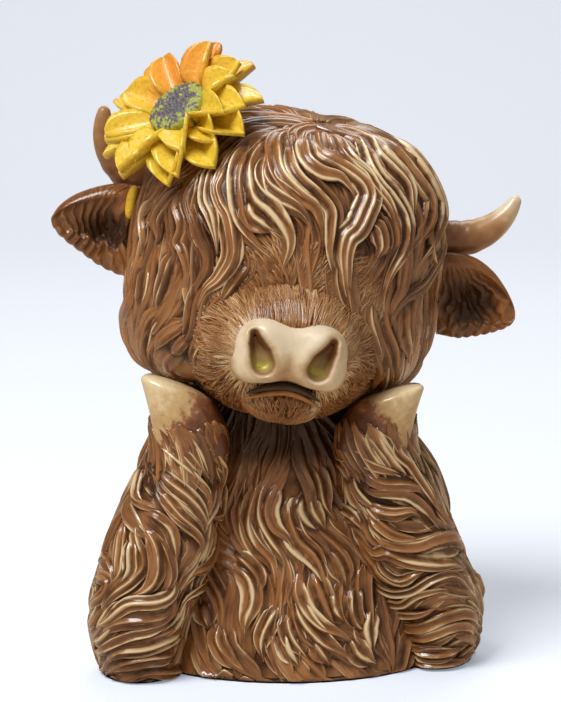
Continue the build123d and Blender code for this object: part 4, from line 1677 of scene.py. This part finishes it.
@dataclass
class Snout:
    """The snout behind the nose, with short fur that grows away from the nose.

    Each section is its distance in front of the head's middle, its drop, and its half width and half height.
    """

    finishes: FinishBook
    head: Surface
    sections: tuple[tuple[float, float, float, float], ...] = (
        (14.0, 17.0, 27.0, 21.0), (27.0, 17.5, 21.5, 18.0), (34.0, 17.8, 17.0, 14.4),
        (39.0, 18.0, 13.8, 10.4), (42.0, 18.4, 11.4, 5.9),
    )
    around: int = 96
    recess: float = 5.0
    mouth_cut: float = 0.3
    hairs: int = 2300
    brow_hairs: int = 1700
    brow_half: Span = (19.0, 16.0)
    brow_drop: float = 17.5

    def point(self, angles: Array, forward: Array) -> Array:
        """Points on the snout.

        Args:
            angles: Their angles round it, from the left towards the top.
            forward: Their places along it.

        Returns:
            The points in the part's frame.
        """
        table = np.array(self.sections)
        forward = np.asarray(forward, float)
        rows = spline(table[:, 0], table[:, 1:], forward)
        cut = 1.0 - self.mouth_cut * smooth(forward, 30.0, 38.0)
        tall = rows[:, 2] * np.where(np.sin(angles) < 0.0, cut, 1.0)
        x, z = rows[:, 1] * np.cos(angles), tall * np.sin(angles) - rows[:, 0]
        return HEAD.place(np.column_stack([x, -forward, z]))

    def surface(self) -> Surface:
        """The bare snout, with a seat sunk in its end for the nose.

        Returns:
            The form under the fur.
        """
        forward = np.linspace(self.sections[0][0], self.sections[-1][0], 32)
        angles = full_turn(self.around)
        verts = np.vstack([self.point(angles, np.full(self.around, at)) for at in forward])
        rim = HEAD.local(verts[-self.around:])
        middle = rim.mean(axis=0)
        seat = middle + (rim - middle) * 0.86 + np.array([0.0, self.recess, 0.0])
        return Surface(np.vstack([verts, HEAD.place(seat)]), tube_faces(len(forward) + 1, self.around))

    def build(self) -> None:
        """Makes the snout and its fur."""
        surface = self.surface()
        mesh = HairMesh(31)
        rows = len(surface.verts) // self.around
        side = np.tile(full_turn(self.around) * 13.0, rows)
        run = np.repeat(np.linspace(0.0, 25.0, rows), self.around)
        mesh.take(surface.verts, surface.faces, tone=0.5, side=side, run=run)
        rng, end = mesh.rng, self.sections[-1][0]
        share = np.linspace(0.0, 1.0, 5)
        for _ in range(self.hairs):
            angle = rng.uniform(-1.15, math.pi + 1.15)
            start = end + 0.5 - 17.0 * rng.uniform(0.0, 1.0) ** 1.7
            turn = angle + (rng.uniform(-0.16, 0.16) + 0.1 * math.sin(angle * 5.0)) * share**2
            line = self.point(turn, np.maximum(start - rng.uniform(4.5, 8.0) * share, 15.0))
            beard = math.sin(angle) < -0.3 and start > 37.0
            style = LockStyle(
                rng.uniform(0.26, 0.46), 0, rng.uniform(0.4, 0.65), step=1.6, tip=0.25, root=0.6,
                paint=1.4 if beard else 0.35,
            )
            mesh.add_lock(surface, line, style)
        dress(mesh.to_object("snout", self.finishes.fur), Slot.HAIR, "muzzle")
        self.build_brow()

    def build_brow(self) -> None:
        """Makes the short fur on the face round the snout."""
        mesh = HairMesh(32)
        rng = mesh.rng
        share = np.linspace(0.0, 1.0, 6)
        wide, high = self.brow_half
        for _ in range(self.brow_hairs):
            angle = rng.uniform(-0.6, math.pi + 0.6)
            reach = rng.uniform(0.8, 1.45)
            grow = reach + rng.uniform(0.24, 0.42) * share
            turn = angle + (rng.uniform(-0.1, 0.1) + 0.12 * math.sin(angle * 4.0)) * share
            x, z = wide * grow * np.cos(turn), high * grow * np.sin(turn) - self.brow_drop
            if z.min() < -28.0:
                continue
            line = self.head.nearest(HEAD.place(np.column_stack([x, np.full(len(x), -40.0), z])))[0]
            style = LockStyle(
                rng.uniform(0.35, 0.65), 0, rng.uniform(0.5, 0.9), step=1.6, tip=0.2, paint=0.3,
            )
            mesh.add_lock(self.head, line, style)
        dress(mesh.to_object("brow_fur", self.finishes.fur), Slot.HAIR)


@dataclass
class Nose:
    """The cream nose: a rounded pad, dipped at the top and arched at the mouth, with two leaning nostrils.

    The left nostril is a chain of circles by their place, height and radius, and the right one mirrors it.
    """

    finishes: FinishBook
    half_width: float = 13.0
    half_height: float = 8.2
    drop: float = 18.0
    back: float = 39.0
    thickness: float = 5.6
    depth: float = 3.4
    nostril: tuple[tuple[float, float, float], ...] = (
        (6.2, -2.3, 2.9), (6.9, -0.4, 2.75), (8.1, 1.9, 2.1), (8.9, 4.0, 1.45),
    )
    around: int = 168
    layers: int = 60

    def outline(self, angles: Array) -> Array:
        """The edge of the pad.

        Args:
            angles: Angles from the left towards the top.

        Returns:
            The place across and the height of the edge at each angle.
        """
        c, s = np.cos(angles), np.sin(angles)
        scale = (np.abs(c) ** 3.0 + np.abs(s) ** 3.0) ** (-1 / 3.0)
        x, z = self.half_width * c * scale, self.half_height * s * scale
        middle = np.exp(-((x / 5.2) ** 2))
        top = smooth(s, 0.0, 0.7)
        low = smooth(-s, 0.0, 0.7)
        z = z - 1.5 * middle * top + 1.9 * middle * low - 0.9 * low * smooth(np.abs(x), 6.0, 11.0)
        return np.column_stack([x * (1.0 - 0.03 * top + 0.05 * low), z])

    def hole(self, x: Array, z: Array) -> Array:
        """How far points lie outside the rim of the nearer nostril.

        Args:
            x: Their places across the pad.
            z: Their heights on the pad.

        Returns:
            The distances, negative inside the rim.
        """
        gaps = []
        for (ax, az, ar), (bx, bz, br) in zip(self.nostril, self.nostril[1:]):
            px, pz = np.abs(x) - ax, z - az
            dx, dz = bx - ax, bz - az
            share = np.clip((px * dx + pz * dz) / (dx * dx + dz * dz), 0.0, 1.0)
            gaps.append(np.hypot(px - dx * share, pz - dz * share) - (ar + (br - ar) * share))
        return np.min(gaps, axis=0)

    def build(self) -> None:
        """Makes the nose."""
        edge = self.outline(full_turn(self.around))
        share = np.linspace(1.0, 0.02, self.layers)
        x, z = ((edge[:, axis][None] * share[:, None]).ravel() for axis in (0, 1))
        r = np.repeat(share, self.around)
        gap = self.hole(x, z)
        dome = self.thickness * (1.0 - r**5) ** 0.45
        dome += 0.7 * np.exp(-((gap - 1.2) / 1.6) ** 2) * (1.0 - r**6)
        dome -= 0.8 * np.exp(-((x / 2.4) ** 2)) * smooth(-z, -1.5, 4.0)
        dome -= 0.5 * np.exp(-((x / 4.0) ** 2)) * smooth(z, 0.0, 6.0)
        inner = smooth(-gap, -0.35, 1.9)
        front = dome - inner * (self.depth - 0.6 * smooth(-z, -2.0, 3.5) - 1.2 * smooth(z, 1.2, 4.4))
        face = np.column_stack([x, -(self.back + front), z - self.drop])
        rim = np.column_stack([edge[:, 0], np.full(self.around, -self.back + 3.0), edge[:, 1] - self.drop])
        faces = [corners[::-1] for corners in tube_faces(self.layers + 1, self.around)]
        pit = smooth(-gap, -0.1, 0.6)
        lime = smooth(-gap, 0.0, 1.6) * smooth(-z, -2.5, 4.0)
        # Browner towards the bottom middle, round each nostril and along the lower edge of the pad; the back
        # rim is all brown.
        brown_places = 0.8 * np.exp(-((x / 3.8) ** 2)) * smooth(-z, -2.0, 4.0)
        brown_places += 0.45 * np.exp(-(((gap - 0.3) / 0.7) ** 2))
        brown_places += 0.8 * smooth(r, 0.88, 1.0) * smooth(-z, 0.0, 4.0)
        bare = np.zeros(self.around)
        masks = {
            "pit": np.concatenate([bare, pit]), "lime": np.concatenate([bare, lime]),
            "brown_places": np.concatenate([bare + 1.0, brown_places]),
        }
        verts = HEAD.place(np.vstack([rim, face]))
        dress(make_object("nose", verts, faces, self.finishes.nose, masks), Slot.NOSE, "nose_pad")


@dataclass
class Chin:
    """The chin with its short fur, the glossy lower lip and the dark mouth above it."""

    finishes: FinishBook
    middle: Point = (0.2, -31.4, -29.9)
    half: Point = (8.6, 8.2, 4.9)
    around: int = 64
    hairs: int = 760
    roll_width: float = 8.4

    def point(self, angles: Array, heights: Array) -> Array:
        """Points on the chin.

        Args:
            angles: Their angles, from the left towards the back.
            heights: Their heights, from -1 to 1.

        Returns:
            The points in the part's frame.
        """
        share = np.sqrt(np.maximum(1.0 - np.abs(heights) ** 2.4, 0.0))
        local = np.column_stack([np.cos(angles) * share, np.sin(angles) * share, heights])
        return HEAD.place(local * np.array(self.half) + np.array(self.middle))

    def build(self) -> None:
        """Makes the chin, the lip and the mouth."""
        levels = np.sin(np.linspace(-1.5, 1.5, 30))
        angles = full_turn(self.around)
        verts = np.vstack([self.point(angles, np.full(self.around, level)) for level in levels])
        surface = Surface(verts, tube_faces(len(levels), self.around))
        mesh = HairMesh(41)
        mesh.take(surface.verts, surface.faces, tone=0.5)
        rng = mesh.rng
        share = np.linspace(0.0, 1.0, 5)
        for _ in range(self.hairs):
            angle = rng.uniform(-math.pi - 0.3, 0.3)
            start = rng.uniform(-0.7, 0.7)
            fan = (0.3 * math.cos(angle) + rng.uniform(-0.15, 0.15)) * share
            line = self.point(angle - fan, np.maximum(start - share * rng.uniform(0.35, 0.7), -0.97))
            style = LockStyle(
                rng.uniform(0.28, 0.5), 0, rng.uniform(0.5, 0.9), step=1.1, tip=0.25, root=0.6,
                paint=1.0 if start > 0.1 else 0.3,
            )
            mesh.add_lock(surface, line, style)
        dress(mesh.to_object("chin_fur", self.finishes.beard), Slot.HAIR, "chin")
        self.add_roll("lip", -26.9, 40.0, 0.95, self.finishes.lip)
        self.add_roll("mouth", -25.5, 40.2, 1.05, self.finishes.mouth)

    def add_roll(
        self, name: str, top: float, front: float, radius: float, finish: Material,
    ) -> None:
        """Adds a roll across the front of the mouth, which arches up in the middle.

        Args:
            name: The piece's name.
            top: The height of its middle over the head's middle.
            front: How far its middle lies in front of the head's middle.
            radius: Its thickness in the middle.
            finish: Its material.
        """
        share = np.linspace(-1.0, 1.0, 40)
        arch = top - 3.0 * np.abs(share) ** 1.7
        path = HEAD.place(np.column_stack([self.roll_width * share, 2.4 * share**2 - front, arch]))
        ahead = unit(np.gradient(path, axis=0))
        side = unit(np.cross(np.tile(HEAD.axes[:, 2], (len(path), 1)), ahead))
        thin = radius * (1.0 - share**2 * 0.93) ** 0.7
        verts = rings(path, side * thin[:, None] * 1.3, np.cross(ahead, side) * thin[:, None] * 0.8, 20)
        dress(make_object(name, verts, outward(verts, tube_faces(len(path), 20)), finish), Slot.HAIR)


class Weave(Enum):
    """How the strands lie in an ear."""

    ARCS = "arcs round its hollow"
    FAN = "a fan from its upper root"


@dataclass
class Ear:
    """One dished ear with carved strands inside its rim.

    Its edges, hollow and pivot are places in the photograph. Its tuft is how far up its lower tufts reach.
    """

    side: Side
    top: Stroke
    low: Stroke
    hollow: Pixel
    pivot: Pixel
    weave: Weave
    tuft: float
    finishes: FinishBook
    back: float = 2.0
    thickness: float = 2.7
    columns: int = 90
    rows: int = 70

    def flat(self, pixels: Stroke) -> Array:
        """Pixels as places across and up in the ear's plane, in the head's own frame."""
        point = HEAD.place(np.array([0.0, self.back, 0.0]))
        return HEAD.local(VIEW.on_plane(pixels, point, HEAD.axes[:, 1]))[:, [0, 2]]

    def edge(self, pixels: Stroke) -> Array:
        """An edge of the ear as evenly spaced places.

        Args:
            pixels: The edge in the photograph.

        Returns:
            One place for each column.
        """
        line = curve_through(self.flat(pixels), 0.2)
        at = np.linspace(0.0, len(line) - 1.0, self.columns)
        return np.stack([np.interp(at, np.arange(len(line)), line[:, k]) for k in range(2)], axis=1)

    def strands(self, places: Array) -> Array:
        """The number of strands from the pivot to places.

        Args:
            places: Places in the ear's plane.

        Returns:
            The numbers, with the place in its own strand as the fraction.
        """
        gap = places - self.flat((self.pivot,))[0]
        spread = np.pad(places, ((0, 0), (0, 1)))
        wobble = 1.1 * drift(spread, 6.0, 17) + 0.45 * drift(spread, 2.4, 18)
        if self.weave is Weave.ARCS:
            return (np.hypot(gap[:, 0], gap[:, 1] * 0.8) + wobble) / 2.1
        return (np.arctan2(-gap[:, 1], np.abs(gap[:, 0])) * 13.0 + wobble) / 2.2

    def both(self, ahead: Array, behind: Array) -> Array:
        """Values of the front and the back, in the order of the ear's points.

        Args:
            ahead: One value or one point for each place of the front.
            behind: The same for the back.

        Returns:
            The values up the front and down the back, column after column.
        """
        front, rear = (side.reshape(self.columns, self.rows, -1) for side in (ahead, behind))
        return np.concatenate([front, rear[:, ::-1]], axis=1).reshape(-1, front.shape[-1])

    def build(self) -> None:
        """Makes the ear."""
        upper, lower = self.edge(self.top), self.edge(self.low)
        along = np.linspace(0.0, 1.0, self.columns)
        lower[:, 1] -= 0.35 * np.abs(np.sin(along * 31.0)) * smooth(along, 0.1, 0.3)
        up = 0.5 - 0.5 * np.cos(np.linspace(0.0, math.pi, self.rows))
        places = (lower[:, None] + (upper - lower)[:, None] * up[None, :, None]).reshape(-1, 2)
        along, up = np.repeat(along, self.rows), np.tile(up, self.columns)
        lens = np.sqrt(np.clip(1.0 - (2.0 * up - 1.0) ** 4, 0.0, 1.0))
        lens = lens * np.sqrt(np.clip(1.0 - along**8, 0.0, 1.0))
        inside = (1.0 - smooth(up, 0.8, 0.9)) * (1.0 - smooth(along, 0.86, 0.97))
        ledge = smooth(self.tuft + 0.04 * np.sin(along * 38.0) - up, -0.03, 0.03)
        number = self.strands(places) + 0.45 * ledge
        part = np.abs(2.0 * (number - np.floor(number)) - 1.0)
        crest = part**1.7 * inside
        middle = self.flat((self.hollow,))[0]
        deep = np.exp(-(((places - middle) / np.array([6.5, 5.5])) ** 2).sum(axis=1)) * inside
        deep = deep * (1.0 - 0.6 * ledge)
        carved = 3.6 * deep * smooth(along, 0.14, 0.4) - 0.7 * ledge * inside
        front = self.thickness + 0.8 * smooth(up, 0.78, 0.9) - 0.7 * (1.0 - crest) * inside - carved
        rear = self.thickness - 0.3 * (1.0 - part**1.7)
        faces_y = (self.back - lens * front, self.back + lens * rear)
        verts = HEAD.place(self.both(*(np.column_stack([places[:, 0], y, places[:, 1]]) for y in faces_y)))
        faces = outward(verts, tube_faces(self.columns, 2 * self.rows))
        shade = np.sin(np.floor(number) * 12.9898) * 0.5 + 0.5
        cavity = np.clip(1.05 * deep + 0.4 * (1.0 - part) * inside, 0.0, 1.0)
        pairs = {
            "crest": (crest, part), "cavity": (cavity, 0.3 * (1.0 - part)), "tone": (shade, shade),
            "run": (up * 18.0, up * 18.0), "side": (number * 2.1, number * 2.1),
        }
        mesh = HairMesh(51)
        masks = {mask: self.both(*pair).ravel() for mask, pair in pairs.items()}
        mesh.take(verts, faces, pale=0.35, **masks)
        node = f"{self.side.word}_ear"
        dress(mesh.to_object(f"{node}_hair", self.finishes.ear), Slot.HAIR, node)


@dataclass
class Horn:
    """One horn: a tapered arc out of the side of the head. Its start and its sweep are in degrees."""

    side: Side
    rise: float
    length: float
    start: float
    sweep: float
    finishes: FinishBook
    pale_tip: float = 1.0
    back: float = 7.0
    depth: float = 5.0
    root: float = 4.6
    tip: float = 1.1
    around: int = 36

    def build(self) -> None:
        """Makes the horn."""
        share = np.linspace(0.0, 1.0, 60)
        turn = np.radians(self.sweep * share)[:, None]
        bend = self.length / math.radians(self.sweep)
        begin, sign = math.radians(self.start), self.side.value
        out = np.array([sign * math.cos(begin), 0.0, math.sin(begin)])
        up = np.array([-sign * math.sin(begin), 0.0, math.cos(begin)])
        root = np.array([sign * (HEAD_FORM.half[0] - self.depth), self.back, self.rise])
        path = root + bend * (np.sin(turn) * out + (1 - np.cos(turn)) * up)
        ahead = np.cos(turn) * out + np.sin(turn) * up
        radius = self.root + (self.tip - self.root) * share**2.3
        radius = radius * (1.0 - smooth(share, 0.965, 1.0) ** 2 * 0.85)
        ripple = 0.10 * np.sin(share * 46.0) * smooth(share, 0.15, 0.25) * (1.0 - smooth(share, 0.4, 0.65))
        first = np.tile(np.array([0.0, 1.0, 0.0]), (len(path), 1))
        size = (radius + ripple)[:, None]
        verts = HEAD.place(rings(path, first * size * 0.96, np.cross(ahead, first) * size, self.around))
        under = np.tile(np.cos(full_turn(self.around) * 2.0), len(path))
        masks = {"along": np.repeat(share * self.pale_tip, self.around), "under": under}
        node = f"{self.side.word}_horn"
        faces = tube_faces(len(path), self.around)
        dress(make_object(f"{node}_painted", verts, faces, self.finishes.horn, masks), Slot.HORN, node)


@dataclass
class Claw:
    """One claw of a hoof, which leans out to a blunt tip. The rear one is a little lower."""

    side: Side
    row: Row
    wrist: Span
    height: float
    finishes: FinishBook
    level: float = 57.0
    apart: float = 5.1
    rear_drop: float = 1.6
    lean: float = 3.4
    waist_lean: float = 1.5
    half_width: float = 8.4
    half_depth: float = 5.2
    tip_width: float = 8.0
    tip_depth: float = 4.4
    crown: float = 0.86
    around: int = 48

    def build(self) -> None:
        """Makes the claw."""
        x, y = self.wrist[0], self.wrist[1] + self.row.value * self.apart
        cap_share = self.crown + 0.2 * np.sin(np.linspace(0.1, 1.54, 10))
        share = np.concatenate([np.linspace(-0.35, self.crown, 30), cap_share])
        height = self.height - (self.rear_drop if self.row is Row.REAR else 0.0)
        knots = np.array([-0.35, 0.0, 0.5, 1.06])
        lean = spline(knots, np.array([-0.6, 0.0, self.waist_lean, self.lean + 0.6]), share)
        wide = spline(knots, np.array([8.2, self.half_width, self.half_width * 0.98, self.tip_width]), share)
        deep = spline(knots, np.array([5.0, self.half_depth, self.half_depth, self.tip_depth]), share)
        cap = np.clip(1.0 - (np.clip(share - self.crown, 0.0, 0.2) / 0.2) ** 3.0, 0.0, 1.0) ** 0.36
        cap = np.maximum(cap, 0.05)
        middle_x, middle_y = x + self.side.value * lean, np.full(len(share), y)
        centres = np.column_stack([middle_x, middle_y, self.level + share * height])
        verts = level_rings(centres, wide * cap, deep * cap, self.around)
        out = (verts[:, 0] - x) * self.side.value / 9.0
        verts[:, 2] = self.level + (verts[:, 2] - self.level) * (0.76 + 0.2 * np.clip(out, -1.0, 1.4))
        masks = {"along": np.repeat(share, self.around), "outward": out}
        node = f"{self.side.word}_{self.row.word}_claw"
        faces = tube_faces(len(share), self.around)
        dress(make_object(f"{node}_painted", verts, faces, self.finishes.hoof, masks), Slot.HORN, node)


@dataclass(frozen=True)
class PetalRing:
    """One ring of thick folded petals. Their lift and the turn of the first one are in degrees."""

    name: str
    count: int
    reach: float
    half_width: float
    lift: float
    turn: float
    base: float


@dataclass
class Sunflower:
    """The sunflower on the right side of the head: three rings of petals and a seed disc."""

    finishes: FinishBook
    seat: Point = (-27.2, -11.0, 27.4)
    facing: Point = (-0.66, -0.41, 0.63)
    hub: float = 7.0
    thickness: float = 2.2
    near_side: float = -13.0
    droop: float = 17.0
    disc: float = 7.3
    seeds: int = 150
    seed_height: float = 0.42
    rings: tuple[PetalRing, ...] = (
        PetalRing("back_petals", 10, 21.8, 4.3, 4.0, 0.0, 0.2),
        PetalRing("middle_petals", 9, 20.2, 4.3, 12.0, 20.0, 1.7),
        PetalRing("front_petals", 8, 17.8, 4.1, 22.0, 45.0, 3.2),
    )
    across: tuple[float, ...] = (-1.0, -0.75, -0.4, 0.0, 0.4, 0.75, 1.0)
    golden_angle: float = 2.39996

    def frame(self) -> Array:
        """The flower's axes as columns: two across it and the way that it faces.

        Returns:
            The axes in the part's frame.
        """
        face = unit(HEAD.axes @ np.array(self.facing))
        first = unit(np.cross(np.array([0.0, 0.0, 1.0]), face))
        return np.column_stack([first, np.cross(face, first), face])

    def petal(
        self, ring: PetalRing, number: int, rng: np.random.Generator,
    ) -> tuple[Array, Array]:
        """One petal, as a closed tube of rings from its root to its tip.

        Args:
            ring: The ring that it belongs to.
            number: Its number in the ring.
            rng: Picks the small differences between petals.

        Returns:
            Its points in the flower's frame, and their share of its length.
        """
        across = np.array([self.across])
        angle = math.radians(ring.turn + 360.0 * number / ring.count + rng.uniform(-3.0, 3.0))
        near = 0.5 + 0.5 * math.cos(angle - math.radians(self.near_side))
        length = (ring.reach - self.hub + 1.0) * rng.uniform(0.9, 1.05) * (1.06 - 0.34 * near**2)
        lift = math.radians(ring.lift + rng.uniform(-5.0, 9.0) - self.droop * near**2)
        share = np.concatenate([np.linspace(0.0, 0.9, 15), [0.95, 0.985, 1.0]])
        stations, widths = [0, 0.12, 0.35, 0.6, 0.8, 0.92, 1.0], [0.6, 0.74, 0.97, 1.0, 0.82, 0.5, 0.12]
        wide = ring.half_width * rng.uniform(0.85, 1.1) * np.interp(share, stations, widths)
        fold, curl, twist = rng.uniform(0.75, 1.4), rng.uniform(-1.0, 2.0), rng.uniform(-0.4, 0.4)
        share, wide = share[:, None], wide[:, None]
        y = wide * across
        ridge = fold * np.abs(across) ** 1.15 * wide * smooth(share, 0.0, 0.3) * 0.75
        rise = curl * share**2.6 + ridge + twist * y * share
        rise = rise - 0.35 * np.exp(-((across / 0.3) ** 2)) * smooth(share, 0.05, 0.3)
        half = 0.5 * self.thickness * (1.0 - 0.35 * share)
        loop_y = np.concatenate([y, y[:, ::-1] * 0.96], axis=1)
        loop_z = np.concatenate([rise + half, (rise - half)[:, ::-1]], axis=1)
        loop_x = length * share - 1.0
        c, s = math.cos(lift), math.sin(lift)
        out, high = self.hub + loop_x * c - loop_z * s, ring.base + loop_x * s + loop_z * c
        c, s = math.cos(angle), math.sin(angle)
        points = np.stack([out * c - loop_y * s, out * s + loop_y * c, high], axis=-1).reshape(-1, 3)
        return points, np.repeat(share, loop_y.shape[1])

    def build(self) -> None:
        """Makes the petals, the seed disc and the run of paint."""
        axes, seat = self.frame(), HEAD.place(np.array([self.seat]))[0]
        loop = 2 * len(self.across)
        for place, ring in enumerate(self.rings):
            rng = np.random.default_rng(70 + place)
            verts, faces, along, shade = [], [], [], []
            for number in range(ring.count):
                points, share = self.petal(ring, number, rng)
                start = number * len(points)
                tube = tube_faces(len(points) // loop, loop)
                faces += [[corner + start for corner in face[::-1]] for face in tube]
                verts.append(points)
                along.append(share)
                shade.append(np.full(len(points), rng.uniform(0.0, 1.0)))
            local = np.vstack(verts)
            sunny = (0.85 * local[:, 1] - 0.5 * local[:, 0]) / 18.0
            masks = {"along": np.concatenate(along), "shade": np.concatenate(shade), "sunny": sunny}
            name, points = f"{ring.name}_painted", seat + local @ axes.T
            dress(make_object(name, points, faces, self.finishes.petal, masks), Slot.PETAL, ring.name)
        self.add_seeds(axes, seat)
        self.add_run()

    def add_run(self) -> None:
        """Adds the run of yellow paint on the root of the ear, under the flower."""
        plane = HEAD.place(np.array([0.0, -1.0, 0.0]))
        path = curve_through(VIEW.on_plane(STROKES.paint_run, plane, HEAD.axes[:, 1]), 0.4)
        thick = 1.2 * np.sqrt(np.clip(1.0 - np.linspace(-0.9, 1.0, len(path)) ** 4, 0.05, 1.0))
        wide, deep = (HEAD.axes[:, axis] * thick[:, None] for axis in (0, 1))
        verts = rings(path, wide, deep, 16)
        faces = outward(verts, tube_faces(len(path), 16))
        dress(make_object("paint_run", verts, faces, self.finishes.petal), Slot.PETAL)

    def add_seeds(self, axes: Array, seat: Array) -> None:
        """Makes the seed disc, with seeds set in spirals.

        Args:
            axes: The flower's axes as columns.
            seat: The flower's middle.
        """
        around, layers = 132, 40
        angle = full_turn(around)
        share = np.linspace(1.0, 0.015, layers)
        spread = np.repeat(share, around)
        r = spread * self.disc
        x, y = r * np.tile(np.cos(angle), layers), r * np.tile(np.sin(angle), layers)
        seeds = np.arange(self.seeds)
        seed_r = (self.disc - 0.1) * np.sqrt(seeds / self.seeds)
        seed_x = seed_r * np.cos(seeds * self.golden_angle)
        seed_y = seed_r * np.sin(seeds * self.golden_angle)
        gap = np.hypot(x[:, None] - seed_x[None], y[:, None] - seed_y[None]).min(axis=1)
        bumps = 1.0 - np.clip(gap / 0.55, 0.0, 1.0) ** 2
        high = 5.4 + 1.3 * (1.0 - spread**4) ** 0.5 + self.seed_height * bumps
        skirt = np.column_stack([self.disc * np.cos(angle), self.disc * np.sin(angle), np.full(around, 3.4)])
        local = np.vstack([skirt, np.column_stack([x, y, high])])
        masks = {
            "bump": np.concatenate([np.zeros(around), bumps]),
            "rim": np.concatenate([np.ones(around), spread]),
        }
        verts, faces = seat + local @ axes.T, tube_faces(layers + 1, around)
        disc = make_object("seed_disc_painted", verts, faces, self.finishes.seed, masks)
        dress(disc, Slot.SEED, "seed_disc")


@dataclass(frozen=True)
class Lamp:
    """One square soft lamp that looks at the ornament, in metres and watts."""

    name: str
    place: Point
    size: float
    power: float
    aim: Point = (0.0, 0.0, 0.075)

    def build(self) -> None:
        """Adds the lamp to the scene."""
        data = bpy.data.lights.new(self.name, "AREA")
        data.shape = "SQUARE"
        data.size = self.size
        data.energy = self.power
        lamp = bpy.data.objects.new(self.name, data)
        lamp.location = self.place
        way = Vector(self.aim) - Vector(self.place)
        lamp.rotation_euler = way.to_track_quat("-Z", "Y").to_euler()
        bpy.context.scene.collection.objects.link(lamp)


@dataclass(frozen=True)
class Stage:
    """The plain floor, the soft light and the camera. The floor looks pale and throws back a warm light."""

    lamps: tuple[Lamp, ...] = (
        Lamp("key", (-0.4, -0.52, 0.98), 0.5, 11.8),
        Lamp("fill", (0.8, -0.7, 0.4), 0.8, 0.5),
        Lamp("back", (0.1, 0.6, 0.9), 0.6, 3.0),
    )
    sky: Colour = tint(234, 226, 212)
    sky_strength: float = 0.32
    warm: Colour = tint(204, 184, 160)
    pale: Colour = tint(226, 230, 238)
    glow: Colour = tint(208, 228, 255)
    glow_strength: float = 0.3

    def build(self) -> None:
        """Adds them to the scene."""
        VIEW.add_camera()
        self.add_sweep()
        for lamp in self.lamps:
            lamp.build()
        world = bpy.data.worlds.new("world")
        world.use_nodes = True
        sky = world.node_tree.nodes["Background"]
        sky.inputs["Color"].default_value = self.sky
        sky.inputs["Strength"].default_value = self.sky_strength
        bpy.context.scene.world = world
        bpy.context.scene.view_settings.view_transform = "Standard"

    def add_sweep(self) -> None:
        """Adds a pale floor that bends up into a wall."""
        bend = np.linspace(0.0, math.pi / 2, 16)
        run = [(-2.0, 0.0), *((0.7 + 0.5 * math.sin(a), 0.5 - 0.5 * math.cos(a)) for a in bend), (1.2, 3.0)]
        verts = np.array([(side, y, z) for y, z in run for side in (-3.0, 3.0)]) / MM
        faces = [[2 * k, 2 * k + 1, 2 * k + 3, 2 * k + 2] for k in range(len(run) - 1)]
        material, n = blank("backdrop")
        seen = n.add("ShaderNodeLightPath").outputs["Is Camera Ray"]
        colour = n.mix(seen, self.warm, self.pale)
        lacquer(
            material, 0.0, None, Base_Color=colour, Roughness=0.9, Emission_Color=self.glow,
            Emission_Strength=n.part(seen, self.glow_strength),
        )
        sweep = make_object("backdrop", verts, faces, material)


def build_hair(finishes: FinishBook) -> None:
    """Builds the pieces with long hair: the head, the torso and the forelegs.

    Args:
        finishes: The materials.
    """
    HeadHair(finishes).build()
    legs = tuple(form.surface() for form in FORELEGS.values())
    # The torso's front takes painted shade under the head, starting at 40 mm and full from 56 mm.
    ColumnHair(
        "torso", TORSO, STROKES.chest, finishes, spacing=5.0, width=2.5, paint=0.42, seed=21,
        hidden_angles=(-35.0, 215.0), avoid=legs, wash=(40.0, 56.0),
    ).build()
    ColumnHair(
        "right_foreleg", FORELEGS[Side.RIGHT], STROKES.right_foreleg, finishes, spacing=3.6, width=1.75,
        paint=1.4, seed=22, hidden_angles=(-30.0, 180.0), cuff=CUFFS[Side.RIGHT], cuff_angles=(120.0, 330.0),
    ).build()
    ColumnHair(
        "left_foreleg", FORELEGS[Side.LEFT], STROKES.left_foreleg, finishes, spacing=3.6, width=1.75,
        paint=1.4, seed=23, hidden_angles=(0.0, 210.0), cuff=CUFFS[Side.LEFT], cuff_angles=(210.0, 420.0),
    ).build()


def build_features(finishes: FinishBook) -> None:
    """Builds the face, the ears, the horns, the hooves and the flower.

    Args:
        finishes: The materials.
    """
    Snout(finishes, HEAD_FORM.surface()).build()
    Nose(finishes).build()
    Chin(finishes).build()
    edges = EAR_EDGES
    Ear(
        Side.RIGHT, edges.right_top, edges.right_low, edges.right_hollow, edges.right_pivot, Weave.ARCS, 0.32,
        finishes,
    ).build()
    Ear(
        Side.LEFT, edges.left_top, edges.left_low, edges.left_hollow, edges.left_pivot, Weave.FAN, 0.16,
        finishes,
    ).build()
    Horn(Side.RIGHT, 10.0, 24.0, 8.0, 86.0, finishes, pale_tip=0.62).build()
    Horn(Side.LEFT, 7.0, 27.5, -20.0, 96.0, finishes).build()
    for row in Row:
        Claw(Side.RIGHT, row, (-22.0, -20.5), 15.0, finishes).build()
        Claw(Side.LEFT, row, (20.0, -18.5), 12.4, finishes).build()
    Sunflower(finishes).build()


def main() -> None:
    """Builds the whole picture."""
    logging.basicConfig(level=logging.INFO, format="%(name)s %(message)s")
    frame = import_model()
    Stage().build()
    finishes = FinishBook()
    build_hair(finishes)
    build_features(finishes)
    special = {"felt_pad": finishes.felt, "flower_calyx": finishes.stem}
    for name, node in frame["nodes"].items():
        node.data.materials.clear()
        node.data.materials.append(special.get(name, finishes.wire))


if __name__ == "__main__":
    main()
